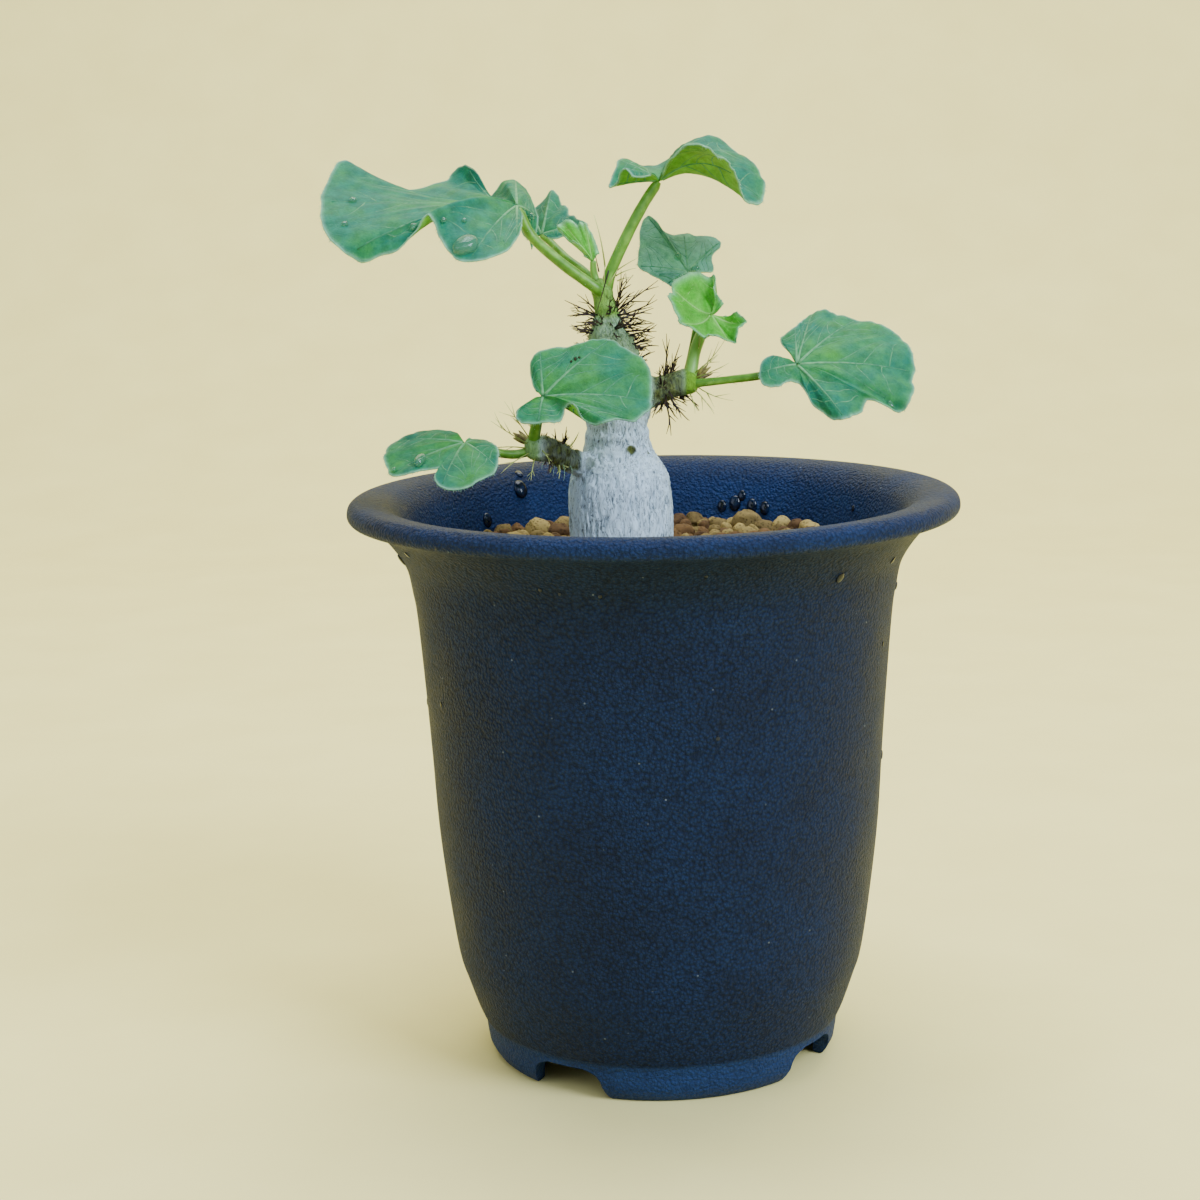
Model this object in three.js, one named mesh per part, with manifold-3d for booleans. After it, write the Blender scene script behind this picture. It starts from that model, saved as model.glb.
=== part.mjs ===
// Potted jatropha marginata: a silvery swollen stem with three spiny shoots and nine leaves,
// standing in a long dark plastic nursery pot filled with pumice granules.
// Millimetres, +Z up, the front of the plant towards -Y.

import * as THREE from 'three';
import * as BufferGeometryUtils from 'three/addons/utils/BufferGeometryUtils.js';
import Module from 'manifold-3d';

const wasm = await Module();
wasm.setup();

// Driving dimensions of the pot
const RIM_RADIUS = 50;
const POT_HEIGHT = 94.3;
const WALL = 1.4;
const FLOOR_UNDERSIDE = 5.6;
const FLOOR_TOP = 7;
const FOOT_INNER_RADIUS = 26.3;
const FOOT_OUTER_RADIUS = 27.9;
const WALL_ROWS = [[31.3, 9.2], [34, 18], [36.35, 40], [39.1, 75]];
const THROAT_HEIGHT = 84;
const POT_SIDES = 48;
const NOTCH_COUNT = 4;
const NOTCH_HALF_WIDTH = 6.9;
const NOTCH_HEIGHT = 5.2;
const NOTCH_FIRST_ANGLE = THREE.MathUtils.degToRad(-122);
const CENTRE_HOLE_RADIUS = 5.5;
const SMALL_HOLE_RADIUS = 2.2;
const SMALL_HOLE_COUNT = 6;
const SMALL_HOLE_CIRCLE = 16;

// Driving dimensions of the soil
const SOIL_LEVEL = 84;
const GRANULE_SPACING = 5.4;
const GRANULE_HEIGHT = 1.9;
const GRANULE_JITTER = 1.5;
const GRANULE_HEAD_SHARE = 0.62;
const GRANULE_ROWS = 10;
const SOIL_GAP = 0.3;
const GRANULE_SEED = 17;

// Driving dimensions of the stem
const STEM_SIDES = 16;
const SHOOT_SIDES = 8;
const STEM_SPLIT_HEIGHT = 112;
const RIGHT_SPLIT_X = 1;
const LEFT_SPLIT_X = -13.5;
const JOINT_GAP = 0.3;
const ROOT_GAP = 0.4;

// Driving dimensions of the spines
const SPINE_ROOT_RADIUS = 0.42;
const SPINE_SUNK = 0.9;
const SPINE_SEED = 5;

// Driving dimensions of the leaves
const BLADE_THICKNESS = 0.7;
const STEEPEST_FACING = 0.5;
const BLADE_RINGS = 3;
const SAMPLES_PER_ROW = 1.2;
const SCALLOP = 0.018;
const PETIOLE_SIDES = 7;
const PETIOLE_STEPS = 5;

// A seeded draw between 0 and 1
function makeDraw(seed) {
  let state = seed;
  return () => {
    state = (state * 1103515245 + 12345) % 2147483648;
    return state / 2147483648;
  };
}

function toSolid(geometry) {
  const bare = geometry.clone();
  bare.deleteAttribute('normal');
  bare.deleteAttribute('uv');
  const merged = BufferGeometryUtils.mergeVertices(bare, 1e-4);
  const vertProperties = new Float32Array(merged.attributes.position.array);
  const triVerts = new Uint32Array(merged.index.array);
  return new wasm.Manifold(new wasm.Mesh({ numProp: 3, vertProperties, triVerts }));
}

function toMesh(solid, name, material) {
  const result = solid.getMesh();
  const geometry = new THREE.BufferGeometry();
  geometry.setAttribute('position', new THREE.BufferAttribute(result.vertProperties, 3));
  geometry.setIndex(new THREE.BufferAttribute(result.triVerts, 1));
  geometry.computeVertexNormals();
  const mesh = new THREE.Mesh(geometry, material);
  mesh.name = name;
  return mesh;
}

function finish(color, roughness) {
  return new THREE.MeshStandardMaterial({ color, roughness, metalness: 0 });
}

function point(values) {
  return new THREE.Vector3(values[0], values[1], values[2]);
}

// A closed body through rings of points, with a fan at each end
function loft(rings) {
  const sides = rings[0].length;
  const positions = [];
  const index = [];
  for (const ring of rings) {
    for (const vertex of ring) {
      positions.push(vertex.x, vertex.y, vertex.z);
    }
  }
  for (let r = 0; r < rings.length - 1; r += 1) {
    for (let s = 0; s < sides; s += 1) {
      const next = (s + 1) % sides;
      const a = r * sides + s;
      const b = r * sides + next;
      index.push(a, b, b + sides);
      index.push(a, b + sides, a + sides);
    }
  }
  const last = (rings.length - 1) * sides;
  for (let s = 1; s < sides - 1; s += 1) {
    index.push(0, s + 1, s);
    index.push(last, last + s, last + s + 1);
  }
  const geometry = new THREE.BufferGeometry();
  geometry.setAttribute('position', new THREE.Float32BufferAttribute(positions, 3));
  geometry.setIndex(index);
  return geometry;
}

// A ring of points square to a direction
function ringAround(centre, direction, radius, sides) {
  const helper = Math.abs(direction.z) > 0.8 ? new THREE.Vector3(1, 0, 0) : new THREE.Vector3(0, 0, 1);
  const across = new THREE.Vector3().crossVectors(helper, direction).normalize();
  const along = new THREE.Vector3().crossVectors(direction, across).normalize();
  const ring = [];
  for (let s = 0; s < sides; s += 1) {
    const angle = (s / sides) * Math.PI * 2;
    const vertex = centre.clone();
    vertex.addScaledVector(across, Math.cos(angle) * radius);
    vertex.addScaledVector(along, Math.sin(angle) * radius);
    ring.push(vertex);
  }
  return ring;
}

// A round tapering tube through points, each written as x, y, z, radius
function taperedTube(rows, sides, steps, grow = 0) {
  const path = new THREE.CatmullRomCurve3(rows.map(point), false, 'catmullrom', 0.5);
  const radii = new THREE.CatmullRomCurve3(
    rows.map((row) => new THREE.Vector3(row[3], 0, 0)), false, 'catmullrom', 0.5);
  const rings = [];
  for (let k = 0; k <= steps; k += 1) {
    const t = k / steps;
    const direction = path.getTangent(t);
    rings.push(ringAround(path.getPoint(t), direction, radii.getPoint(t).x + grow, sides));
  }
  return loft(rings);
}

// The pot: foot ring, tall tapered wall, flared shoulder and rolled rim

function potProfile() {
  return [
    [0, FLOOR_UNDERSIDE],
    [FOOT_INNER_RADIUS + 0.8, FLOOR_UNDERSIDE],
    [FOOT_INNER_RADIUS, 0],
    [FOOT_OUTER_RADIUS, 0],
    [29.3, 2],
    [29.8, 6.2],
    [30.2, 6.6],
    ...WALL_ROWS,
    [40.5, 83],
    [43.6, 88],
    [46, 90],
    [48.6, 90.9],
    [RIM_RADIUS, 91.6],
    [RIM_RADIUS, 93],
    [48.3, POT_HEIGHT],
    [44, 93.8],
    [40.8, 91],
    [39.1, THROAT_HEIGHT],
    ...WALL_ROWS.map((row) => [row[0] - WALL, row[1]]).reverse(),
    [28.4, FLOOR_TOP],
    [0, FLOOR_TOP],
  ];
}

function latheSolid(profile, sides) {
  const points = profile.map((pair) => new THREE.Vector2(pair[0], pair[1]));
  const geometry = new THREE.LatheGeometry(points, sides);
  geometry.rotateX(Math.PI / 2);
  return toSolid(geometry);
}

function notchSolid(angle) {
  const half = NOTCH_HALF_WIDTH;
  const arch = new THREE.Shape();
  arch.moveTo(-half - 1, -1);
  arch.lineTo(half + 1, -1);
  arch.lineTo(half, 0.6);
  arch.lineTo(half - 0.7, 3.4);
  arch.lineTo(half - 2, 4.7);
  arch.lineTo(half - 3.6, NOTCH_HEIGHT);
  arch.lineTo(3.6 - half, NOTCH_HEIGHT);
  arch.lineTo(2 - half, 4.7);
  arch.lineTo(0.7 - half, 3.4);
  arch.lineTo(-half, 0.6);
  arch.closePath();
  const geometry = new THREE.ExtrudeGeometry(arch, { depth: 12, bevelEnabled: false });
  geometry.rotateX(Math.PI / 2);
  geometry.translate(0, 34, 0);
  geometry.rotateZ(angle - Math.PI / 2);
  return toSolid(geometry);
}

function holeSolid(radius, x, y) {
  const geometry = new THREE.CylinderGeometry(radius, radius, 8, 20);
  geometry.rotateX(Math.PI / 2);
  geometry.translate(x, y, FLOOR_TOP);
  return toSolid(geometry);
}

function makePot() {
  let solid = latheSolid(potProfile(), POT_SIDES);
  for (let k = 0; k < NOTCH_COUNT; k += 1) {
    solid = solid.subtract(notchSolid(NOTCH_FIRST_ANGLE + (k / NOTCH_COUNT) * Math.PI * 2));
  }
  solid = solid.subtract(holeSolid(CENTRE_HOLE_RADIUS, 0, 0));
  for (let k = 0; k < SMALL_HOLE_COUNT; k += 1) {
    const angle = (k / SMALL_HOLE_COUNT) * Math.PI * 2;
    const x = Math.cos(angle) * SMALL_HOLE_CIRCLE;
    const y = Math.sin(angle) * SMALL_HOLE_CIRCLE;
    solid = solid.subtract(holeSolid(SMALL_HOLE_RADIUS, x, y));
  }
  return toMesh(solid, 'pot', finish(0x23272f, 0.5));
}

// The swollen stem and its forks, each row x, y, z, radius

const CAUDEX_ROWS = [
  [-5, 0, 66, 4],
  [-5, 0, 72, 6],
  [-5.1, 0, 79, 7.6],
  [-5.15, 0, 86, 8.25],
  [-5.3, 0, 92, 8.35],
  [-5.4, 0, 96, 8.1],
  [-5.5, 0, 98.2, 7.4],
  [-5.55, 0, 99.9, 6.4],
  [-5.6, 0, 102, 5.3],
  [-5.7, 0, 106, 4.75],
  [-6, 0, 110, 4.6],
  [-6.1, 0, 114, 4.7],
  [-6.2, 0, 117.6, 4.1],
  [-6.7, 0, 120.4, 3.1],
  [-6.8, 0, 122.6, 2.3],
  [-7.1, 0, 125, 1.8],
  [-7.7, 0, 127.4, 1.6],
  [-8, 0, 129.2, 0.6],
];

const RIGHT_ROWS = [
  [-4.5, 0, 107.5, 4],
  [-1.8, 0, 110.4, 3.3],
  [1, 0, 110.9, 2.2],
  [4, -0.3, 111.9, 1.9],
  [6.2, -0.5, 112.5, 1.5],
  [7.2, -0.5, 113, 0.6],
];

const LEFT_ROWS = [
  [-9, -2.5, 98.6, 2.2],
  [-12.3, -4.6, 100, 1.8],
  [-14, -6.2, 100.9, 1.65],
  [-16.2, -8.6, 102.6, 1.7],
  [-18.4, -10.3, 103.2, 1.5],
  [-19.8, -10.9, 103.8, 0.7],
];

// The trunk keeps level rings so that its root stands flat in the soil
function trunkSolid(grow) {
  const rings = CAUDEX_ROWS.map((row) => {
    const up = new THREE.Vector3(0, 0, 1);
    return ringAround(point(row), up, row[3] + grow, STEM_SIDES);
  });
  return toSolid(loft(rings));
}

function stemSolid(grow) {
  const right = toSolid(taperedTube(RIGHT_ROWS, SHOOT_SIDES, 9, grow));
  const left = toSolid(taperedTube(LEFT_ROWS, SHOOT_SIDES, 9, grow));
  return trunkSolid(grow).add(right).add(left);
}

function blockSolid(low, high) {
  const size = new THREE.Vector3().subVectors(high, low);
  const geometry = new THREE.BoxGeometry(size.x, size.y, size.z);
  geometry.translate(low.x + size.x / 2, low.y + size.y / 2, low.z + size.z / 2);
  return toSolid(geometry);
}

const MAIN_BLOCK = blockSolid(
  new THREE.Vector3(-40, -40, STEM_SPLIT_HEIGHT), new THREE.Vector3(RIGHT_SPLIT_X, 40, 170));
const RIGHT_BLOCK = blockSolid(
  new THREE.Vector3(RIGHT_SPLIT_X, -40, 104), new THREE.Vector3(60, 40, 170));
const LEFT_BLOCK = blockSolid(
  new THREE.Vector3(-60, -40, 98), new THREE.Vector3(LEFT_SPLIT_X, 40, STEM_SPLIT_HEIGHT));

// A three sided needle that ends in a point
function needleSolid(root, direction, length, radius) {
  const ring = ringAround(root, direction, radius, 3);
  const tip = root.clone().addScaledVector(direction, length);
  const positions = [...ring, tip].flatMap((vertex) => [vertex.x, vertex.y, vertex.z]);
  const geometry = new THREE.BufferGeometry();
  geometry.setAttribute('position', new THREE.Float32BufferAttribute(positions, 3));
  geometry.setIndex([0, 2, 1, 0, 1, 3, 1, 2, 3, 2, 0, 3]);
  return toSolid(geometry);
}

// One thorn with its side branch, its root sunk well into the shoot
function spineSolid(base, direction, length, draw) {
  const root = base.clone().addScaledVector(direction, -SPINE_SUNK);
  const main = needleSolid(root, direction, length + SPINE_SUNK, SPINE_ROOT_RADIUS);
  const swing = new THREE.Vector3(draw() - 0.5, draw() - 0.5, draw() - 0.2);
  const turned = direction.clone().addScaledVector(swing, 1.6).normalize();
  const fork = base.clone().addScaledVector(direction, length * (0.2 + 0.25 * draw()));
  const branch = needleSolid(fork, turned, length * 0.5, SPINE_ROOT_RADIUS * 0.6);
  return main.add(branch);
}

// Thorn tufts, each row x, y, z of the place on the shoot, then the way it points and its length
const MAIN_TUFTS = [
  [-9, -0.6, 123.6, -1, -0.1, 0.5, 5.2],
  [-9.1, 0.3, 123.2, -1, 0.3, 0, 4.4],
  [-9, -0.8, 122.2, -0.9, -0.5, -0.1, 4],
  [-9.3, -1.2, 120.8, -0.9, -0.4, 0.15, 3.4],
  [-9.5, 0.8, 120.3, -0.8, 0.7, 0.2, 4.2],
  [-5, -0.6, 124.2, 0.85, -0.1, 0.6, 8],
  [-4.9, -0.9, 123.4, 0.9, -0.3, 0.35, 7],
  [-5.4, -0.5, 124.8, 0.3, -0.3, 1, 5.6],
  [-4.6, 0.4, 122.8, 0.95, 0.2, 0.25, 5.6],
  [-4.3, -0.8, 121.8, 1, -0.3, 0.05, 4.8],
  [-3.9, -1, 120.8, 0.9, -0.4, 0.1, 5.2],
  [-3.4, -0.8, 119.8, 1, -0.3, 0.2, 4.8],
  [-2.7, -0.8, 118.6, 0.9, -0.4, 0.3, 4],
  [-2.2, 0.6, 117.6, 0.9, 0.4, 0.1, 4],
  [-1.7, -0.6, 116, 0.9, -0.3, 0.5, 3],
  [-6.6, -2.1, 123.4, 0.1, -1, 0.5, 4],
  [-7.8, -2.3, 122.2, -0.3, -1, 0.4, 3.4],
  [-5.4, -2.5, 121.4, 0.4, -0.9, 0.4, 3.6],
  [-6.8, 2.1, 123.5, -0.1, 1, 0.4, 6],
  [-7.8, 2.4, 122, -0.4, 1, 0.1, 5],
  [-5.6, 2.6, 121.2, 0.3, 1, 0.3, 5.6],
  [-7, 3.4, 118.8, -0.2, 1, 0.1, 4.6],
  [-4.6, 3.4, 118.2, 0.5, 0.9, 0.3, 4.8],
  [-9.2, 2.6, 118.2, -0.7, 0.7, 0.1, 4.2],
];

const RIGHT_TUFTS = [
  [2, 0.1, 112.8, 0.1, 0.2, 1, 6.4],
  [3, -0.2, 113.2, 0.15, -0.2, 1, 4.6],
  [1.9, -1.6, 112.1, -0.1, -0.8, 0.8, 3.4],
  [3.4, 1.6, 112.5, 0.2, 0.9, 0.7, 4.2],
  [2.4, 0, 108.9, 0.15, -0.1, -1, 4.4],
  [3.4, -0.3, 109.8, 0.6, -0.2, -0.8, 4],
  [4.6, -0.4, 110.4, 0.7, 0.1, -0.6, 3.4],
  [1.7, -1.2, 109.2, -0.5, -0.5, -0.8, 3.2],
  [2.9, -2, 110.8, 0.2, -1, -0.4, 3.6],
  [3, 1.9, 110.6, 0.1, 1, -0.3, 4.6],
  [2, 1.5, 109.6, -0.2, 0.8, -0.7, 3.8],
];

const LEFT_TUFTS = [
  [-14.3, -6.4, 102.5, 0.2, 0.1, 1, 3.6],
  [-14.9, -7.4, 102.9, -0.2, -0.1, 1, 2.8],
  [-14.1, -5.4, 102.2, 0.7, 0.4, 0.7, 3.4],
  [-14.7, -5.6, 102.2, 0.1, 0.9, 0.6, 3.6],
  [-16.6, -9.9, 101.4, 0, -0.8, -0.7, 3],
  [-15.2, -8.4, 100.4, 0.1, -0.4, -0.9, 2.6],
  [-18.2, -9.1, 104.2, -0.2, 0.7, 0.7, 3.2],
];

function withSpines(body, tufts, draw) {
  let solid = body;
  for (const row of tufts) {
    const direction = new THREE.Vector3(row[3], row[4], row[5]).normalize();
    solid = solid.add(spineSolid(point(row), direction, row[6], draw));
  }
  return solid;
}

// A small closed bud standing on a shoot
function budSolid(foot, head, radius) {
  const base = point(foot);
  const tip = point(head);
  const middle = base.clone().lerp(tip, 0.55);
  const direction = new THREE.Vector3().subVectors(tip, base).normalize();
  return toSolid(loft([
    ringAround(base, direction, radius * 0.45, 6),
    ringAround(middle, direction, radius, 6),
    ringAround(tip, direction, radius * 0.35, 6),
  ]));
}

function makeStemPieces() {
  const draw = makeDraw(SPINE_SEED);
  const whole = stemSolid(0);
  const caudex = whole.subtract(MAIN_BLOCK).subtract(RIGHT_BLOCK).subtract(LEFT_BLOCK);
  const main = withSpines(whole.intersect(MAIN_BLOCK), MAIN_TUFTS, draw);
  const rightBud = budSolid([7.2, 0.3, 112.6], [10, 1, 114.8], 0.55);
  const right = withSpines(whole.intersect(RIGHT_BLOCK).add(rightBud), RIGHT_TUFTS, draw);
  const leftBud = budSolid([-19.2, -9.8, 103.7], [-21.6, -9, 106.1], 0.65);
  const left = withSpines(whole.intersect(LEFT_BLOCK).add(leftBud), LEFT_TUFTS, draw);
  return [
    toMesh(caudex, 'caudex', finish(0xb9b9b2, 0.8)),
    toMesh(main, 'main_shoot', finish(0x8b9a63, 0.7)),
    toMesh(right, 'right_shoot', finish(0x84925a, 0.7)),
    toMesh(left, 'left_shoot', finish(0x84925a, 0.7)),
  ];
}

// The soil: a plug in the pot whose top is set with granules

// The middles of the granules on a jittered honeycomb, keyed by row and column
function granuleMiddles(draw) {
  const rise = GRANULE_SPACING * Math.sqrt(0.75);
  const reach = GRANULE_ROWS + 1;
  const middles = new Map();
  for (let row = -reach; row <= reach; row += 1) {
    for (let column = -reach; column <= reach; column += 1) {
      const shift = (row % 2 === 0) ? 0 : GRANULE_SPACING / 2;
      const x = column * GRANULE_SPACING + shift + (draw() - 0.5) * GRANULE_JITTER;
      const y = row * rise + (draw() - 0.5) * GRANULE_JITTER;
      const top = SOIL_LEVEL + GRANULE_HEIGHT * (0.45 + 0.55 * draw());
      middles.set(`${row},${column}`, { x, y, top });
    }
  }
  return middles;
}

// The six cells around a cell, anticlockwise
function cellsAround(row, column) {
  const odd = row % 2 === 0 ? 0 : 1;
  return [[row, column + 1], [row + 1, column + odd], [row + 1, column + odd - 1],
    [row, column - 1], [row - 1, column + odd - 1], [row - 1, column + odd]];
}

// A block of soil whose top is one three cornered head over each cell
function granuleGeometry(draw) {
  const middles = granuleMiddles(draw);
  const positions = [];
  const index = [];
  const corners = new Map();
  const edges = new Map();
  const put = (x, y, z) => {
    positions.push(x, y, z);
    return positions.length / 3 - 1;
  };
  const cornerOf = (cells) => {
    const key = cells.map((pair) => pair.join(',')).sort().join(';');
    if (!corners.has(key)) {
      const three = cells.map((pair) => middles.get(pair.join(',')));
      const x = (three[0].x + three[1].x + three[2].x) / 3;
      const y = (three[0].y + three[1].y + three[2].y) / 3;
      const top = put(x, y, SOIL_LEVEL - 0.6 * draw());
      const foot = put(x, y, FLOOR_TOP - 4);
      corners.set(key, { top, foot });
    }
    return corners.get(key);
  };
  for (let row = -GRANULE_ROWS; row <= GRANULE_ROWS; row += 1) {
    for (let column = -GRANULE_ROWS; column <= GRANULE_ROWS; column += 1) {
      const cell = middles.get(`${row},${column}`);
      const around = cellsAround(row, column);
      const ring = around.map((pair, k) => cornerOf([[row, column], pair, around[(k + 1) % 6]]));
      const head = [];
      for (let k = 0; k < 3; k += 1) {
        const corner = ring[k * 2].top * 3;
        const x = cell.x + (positions[corner] - cell.x) * GRANULE_HEAD_SHARE;
        const y = cell.y + (positions[corner + 1] - cell.y) * GRANULE_HEAD_SHARE;
        head.push(put(x, y, cell.top + (draw() - 0.5) * 0.7));
      }
      index.push(head[0], head[1], head[2]);
      for (let k = 0; k < 6; k += 1) {
        const a = ring[k].top;
        const b = ring[(k + 1) % 6].top;
        const owner = head[Math.ceil(k / 2) % 3];
        index.push(a, b, owner);
        if (k % 2 === 0) {
          index.push(b, head[(k / 2 + 1) % 3], owner);
        }
        edges.set(`${a},${b}`, [ring[k], ring[(k + 1) % 6]]);
      }
      for (let k = 1; k < 5; k += 1) {
        index.push(ring[0].foot, ring[k + 1].foot, ring[k].foot);
      }
    }
  }
  // the outer side of the block
  for (const [first, second] of edges.values()) {
    if (!edges.has(`${second.top},${first.top}`)) {
      index.push(second.top, first.top, first.foot);
      index.push(second.top, first.foot, second.foot);
    }
  }
  const geometry = new THREE.BufferGeometry();
  geometry.setAttribute('position', new THREE.Float32BufferAttribute(positions, 3));
  geometry.setIndex(index);
  return geometry;
}

function soilBounds() {
  const gap = SOIL_GAP + WALL;
  return latheSolid([
    [0, FLOOR_TOP],
    [28, FLOOR_TOP],
    ...WALL_ROWS.map((row) => [row[0] - gap, row[1] + SOIL_GAP]),
    [38.8, THROAT_HEIGHT],
    [39.3, THROAT_HEIGHT + 4],
    [0, THROAT_HEIGHT + 4],
  ], POT_SIDES);
}

function makeSoil() {
  const draw = makeDraw(GRANULE_SEED);
  const bed = toSolid(granuleGeometry(draw));
  const solid = bed.intersect(soilBounds()).subtract(trunkSolid(ROOT_GAP));
  return toMesh(solid, 'soil', finish(0x9a744c, 0.95));
}

// The leaves. The joint is where the stalk meets the blade and up is the way the blade faces.
// The petiole rows are x, y, z, radius from the shoot to the joint. Each margin row is x, y, z
// from the joint, then how far that ray arches in percent of its length, anticlockwise from
// above. The wave is the height of the margin's ripple and the number of ripples.

const LEAVES = [
  {
    name: 'leaf_big_left',
    color: 0x5a9e88,
    joint: [-21, 0, 141],
    up: [0.05, -0.35, 1],
    wave: [0.25, 7],
    petiole: [[-7.4, -0.7, 126.8, 1.1], [-9.1, -1.6, 128.2, 1], [-14.2, -1, 132, 0.95],
      [-18.7, 0.2, 136.2, 0.9], [-20.8, 0.4, 140.6, 0.85]],
    margin: [
      [2, 4.5, -7, 5], [3, 6.5, -3, 5], [2.5, 9, -1, 5], [1.5, 12, 1.5, 5],
      [0.5, 14.5, 3, 5], [-1, 15.5, 4, 5], [-3, 14.5, 3.5, 5], [-4, 12.8, 2, 0],
      [-5.8, 13.2, 1, 0], [-6.3, 12.6, 3.6, -12], [-7.1, 13.2, 5.5, -16], [-9.2, 15.6, 6.5, -12],
      [-10.9, 17.2, 5.5, -7], [-12.5, 16.5, 4, -3], [-15, 14, 3.5, 0], [-18.5, 10, 3, -3],
      [-22.5, 9.5, 4.5, -7], [-25.5, 9, 6, -9], [-28.5, 8, 7.5, -8], [-30, 5, 6, -5],
      [-31, 1, 3.5, -2], [-31, -3, 1.5, 0], [-30.5, -7, -1, 2], [-29.5, -10.5, -3.5, 4],
      [-26.5, -13.5, -6, 7], [-23.7, -12.8, -7.6, 11], [-20.8, -12.4, -6.6, 14],
      [-18, -12, -6, 15], [-15.3, -11.8, -3.4, 14], [-13.1, -11.8, -0.9, 9], [-11.5, -12.5, -4, 11],
      [-9.5, -15.5, -6.5, 9], [-8, -17, -7.5, 7], [-5.5, -17.5, -8, 5], [-3, -17, -7.5, 5],
      [-1, -15, -6.5, 5], [0.5, -12, -4.5, 5], [1, -8, -3, 5], [1, -3.5, -1.5, 5],
    ],
  },
  {
    name: 'leaf_behind_left',
    color: 0x559585,
    joint: [-17.5, 10, 136],
    up: [0.1, -0.7, 0.8],
    wave: [0.2, 4],
    petiole: [[-7.7, 1, 126.6, 0.75], [-10, 2.6, 129.9, 0.7], [-13.3, 5.4, 132.4, 0.65],
      [-16.1, 8.8, 134.9, 0.65], [-17.6, 10.3, 135.9, 0.6]],
    margin: [
      [1, -1, -0.5, 6], [3, -1.5, -0.5, 6], [4.5, -1, 0.5, 6], [6, 0, 1, 6], [7.5, 1, 1.5, 6],
      [5.5, 2, 2.5, 6], [4.5, 3, 3, 6], [4, 5, 4.5, 6], [3, 6.5, 5, 6], [2.5, 8, 6, 6],
      [1.5, 9, 7, 6], [0.5, 9, 6, 6], [-1, 8.5, 4.5, 6], [-2, 8, 3.5, 6], [-3, 6.5, 2.5, 6],
      [-3.5, 4.5, 1, 6], [-2.5, 2, -0.5, 6], [-1.5, 0.5, -0.5, 6],
    ],
  },
  {
    name: 'leaf_young_top',
    color: 0x86b94e,
    joint: [-9, 0, 132],
    up: [-0.1, -0.8, 0.6],
    wave: [0.2, 5],
    petiole: [[-8, 0.4, 127.6, 0.7], [-8.7, 0.5, 129.6, 0.65], [-8.9, 0.4, 130.9, 0.6],
      [-8.9, 0.2, 132.1, 0.55]],
    margin: [
      [1, 0, 1, 6], [0.5, 1, 3, 6], [0, 1, 4, 6], [-1, 2, 5.5, 6], [-2, 2, 6, 6],
      [-3, 2.5, 6, 6], [-4.5, 3, 6.5, 6], [-5.5, 3.3, 5.5, 6], [-5, 3, 4.5, 6],
      [-4, 1.8, 3.5, 6], [-2.4, -0.8, 3.1, 6], [-1.5, -0.2, 1.5, 6], [-1, 0, 0.5, 6],
    ],
  },
  {
    name: 'leaf_upper_right',
    color: 0x5f9f7c,
    joint: [2, 3, 144.5],
    up: [0, 0.25, 1],
    wave: [0.2, 9],
    petiole: [[-6.9, 0.2, 127.2, 1.1], [-6, 0.5, 130.5, 1.05], [-3.1, 1.2, 136.5, 1],
      [-0.4, 2.2, 141.2, 0.95], [1.8, 3, 144.3, 0.9]],
    margin: [
      [0.5, -3, 1, 4], [1.5, -6.9, 3, 4], [2.5, -9.5, 4, 4], [4, -12, 5.5, 8],
      [6, -12.5, 5.5, 13], [7.5, -12, 5, 15], [9, -11, 4, 16], [10.5, -10, 3, 16],
      [11.5, -8.5, 1.5, 17], [12.5, -6.5, -0.5, 18], [13.5, -4, -3, 18], [14.5, -2, -4, 18],
      [16, 0, -4, 18], [17, 3, -2.5, 18], [17, 5.5, -0.5, 17], [16, 8, 1.5, 15],
      [14.5, 10.5, 3.5, 13], [12.5, 12.5, 4.5, 11], [10.5, 14, 6, 8], [8, 14, 7, 6],
      [5.5, 13, 6.5, 4], [3, 10.5, 4.5, 4], [0.5, 9, 2.5, 4], [-2.5, 7.5, 2.5, 4],
      [-4.5, 6, 3, 4], [-6, 4, 3.5, 4], [-7, 1.5, 2.5, 4], [-8, -0.5, -0.5, 4],
      [-7, -2, -0.5, 4], [-5.5, -5, 2, 4], [-4, -5.5, 1, 4], [-1.5, -3.5, 1, 4],
    ],
  },
  {
    name: 'leaf_behind_right',
    color: 0x4f8c77,
    joint: [6.5, 9, 129.5],
    up: [-0.1, -0.75, 0.65],
    wave: [0.2, 4],
    petiole: [[5.6, 0.6, 111.8, 0.8], [6.2, 2.4, 114, 0.75], [7.6, 4.8, 120, 0.7],
      [8.4, 6.9, 125, 0.7], [6.6, 9.3, 129.5, 0.65]],
    margin: [
      [1.5, -0.1, 0, 5], [2.5, 0.1, 0, 5], [4, 1, 0, 5], [4, 3.5, 2.5, 5], [5.5, 5.5, 4, 5],
      [5, 6.5, 5, 5], [2, 7, 5.5, 5], [-0.5, 6.5, 6, 5], [-2.5, 5.5, 6, 5], [-4, 6.4, 6.5, 5],
      [-5, 5.7, 8, 5], [-6.5, 7.5, 9, 5], [-7.5, 6, 7.5, 5], [-8, 3, 4, 5], [-8, 0.5, 1, 5],
      [-6.5, -0.5, 0, 5], [-4.5, -1, -1, 5], [-2.5, -1, -2, 5], [-1, -0.5, -1, 5],
    ],
  },
  {
    name: 'leaf_young_cup',
    color: 0x7ab85c,
    joint: [10, 1, 123],
    up: [-0.3, -0.75, 0.6],
    wave: [0.3, 8],
    petiole: [[5.4, -0.5, 111.8, 1.15], [6.5, -0.6, 113.6, 1.1], [7.3, 1, 117, 1.05],
      [8.7, 2.6, 120.4, 1], [10, 1.6, 122.8, 0.9]],
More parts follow.
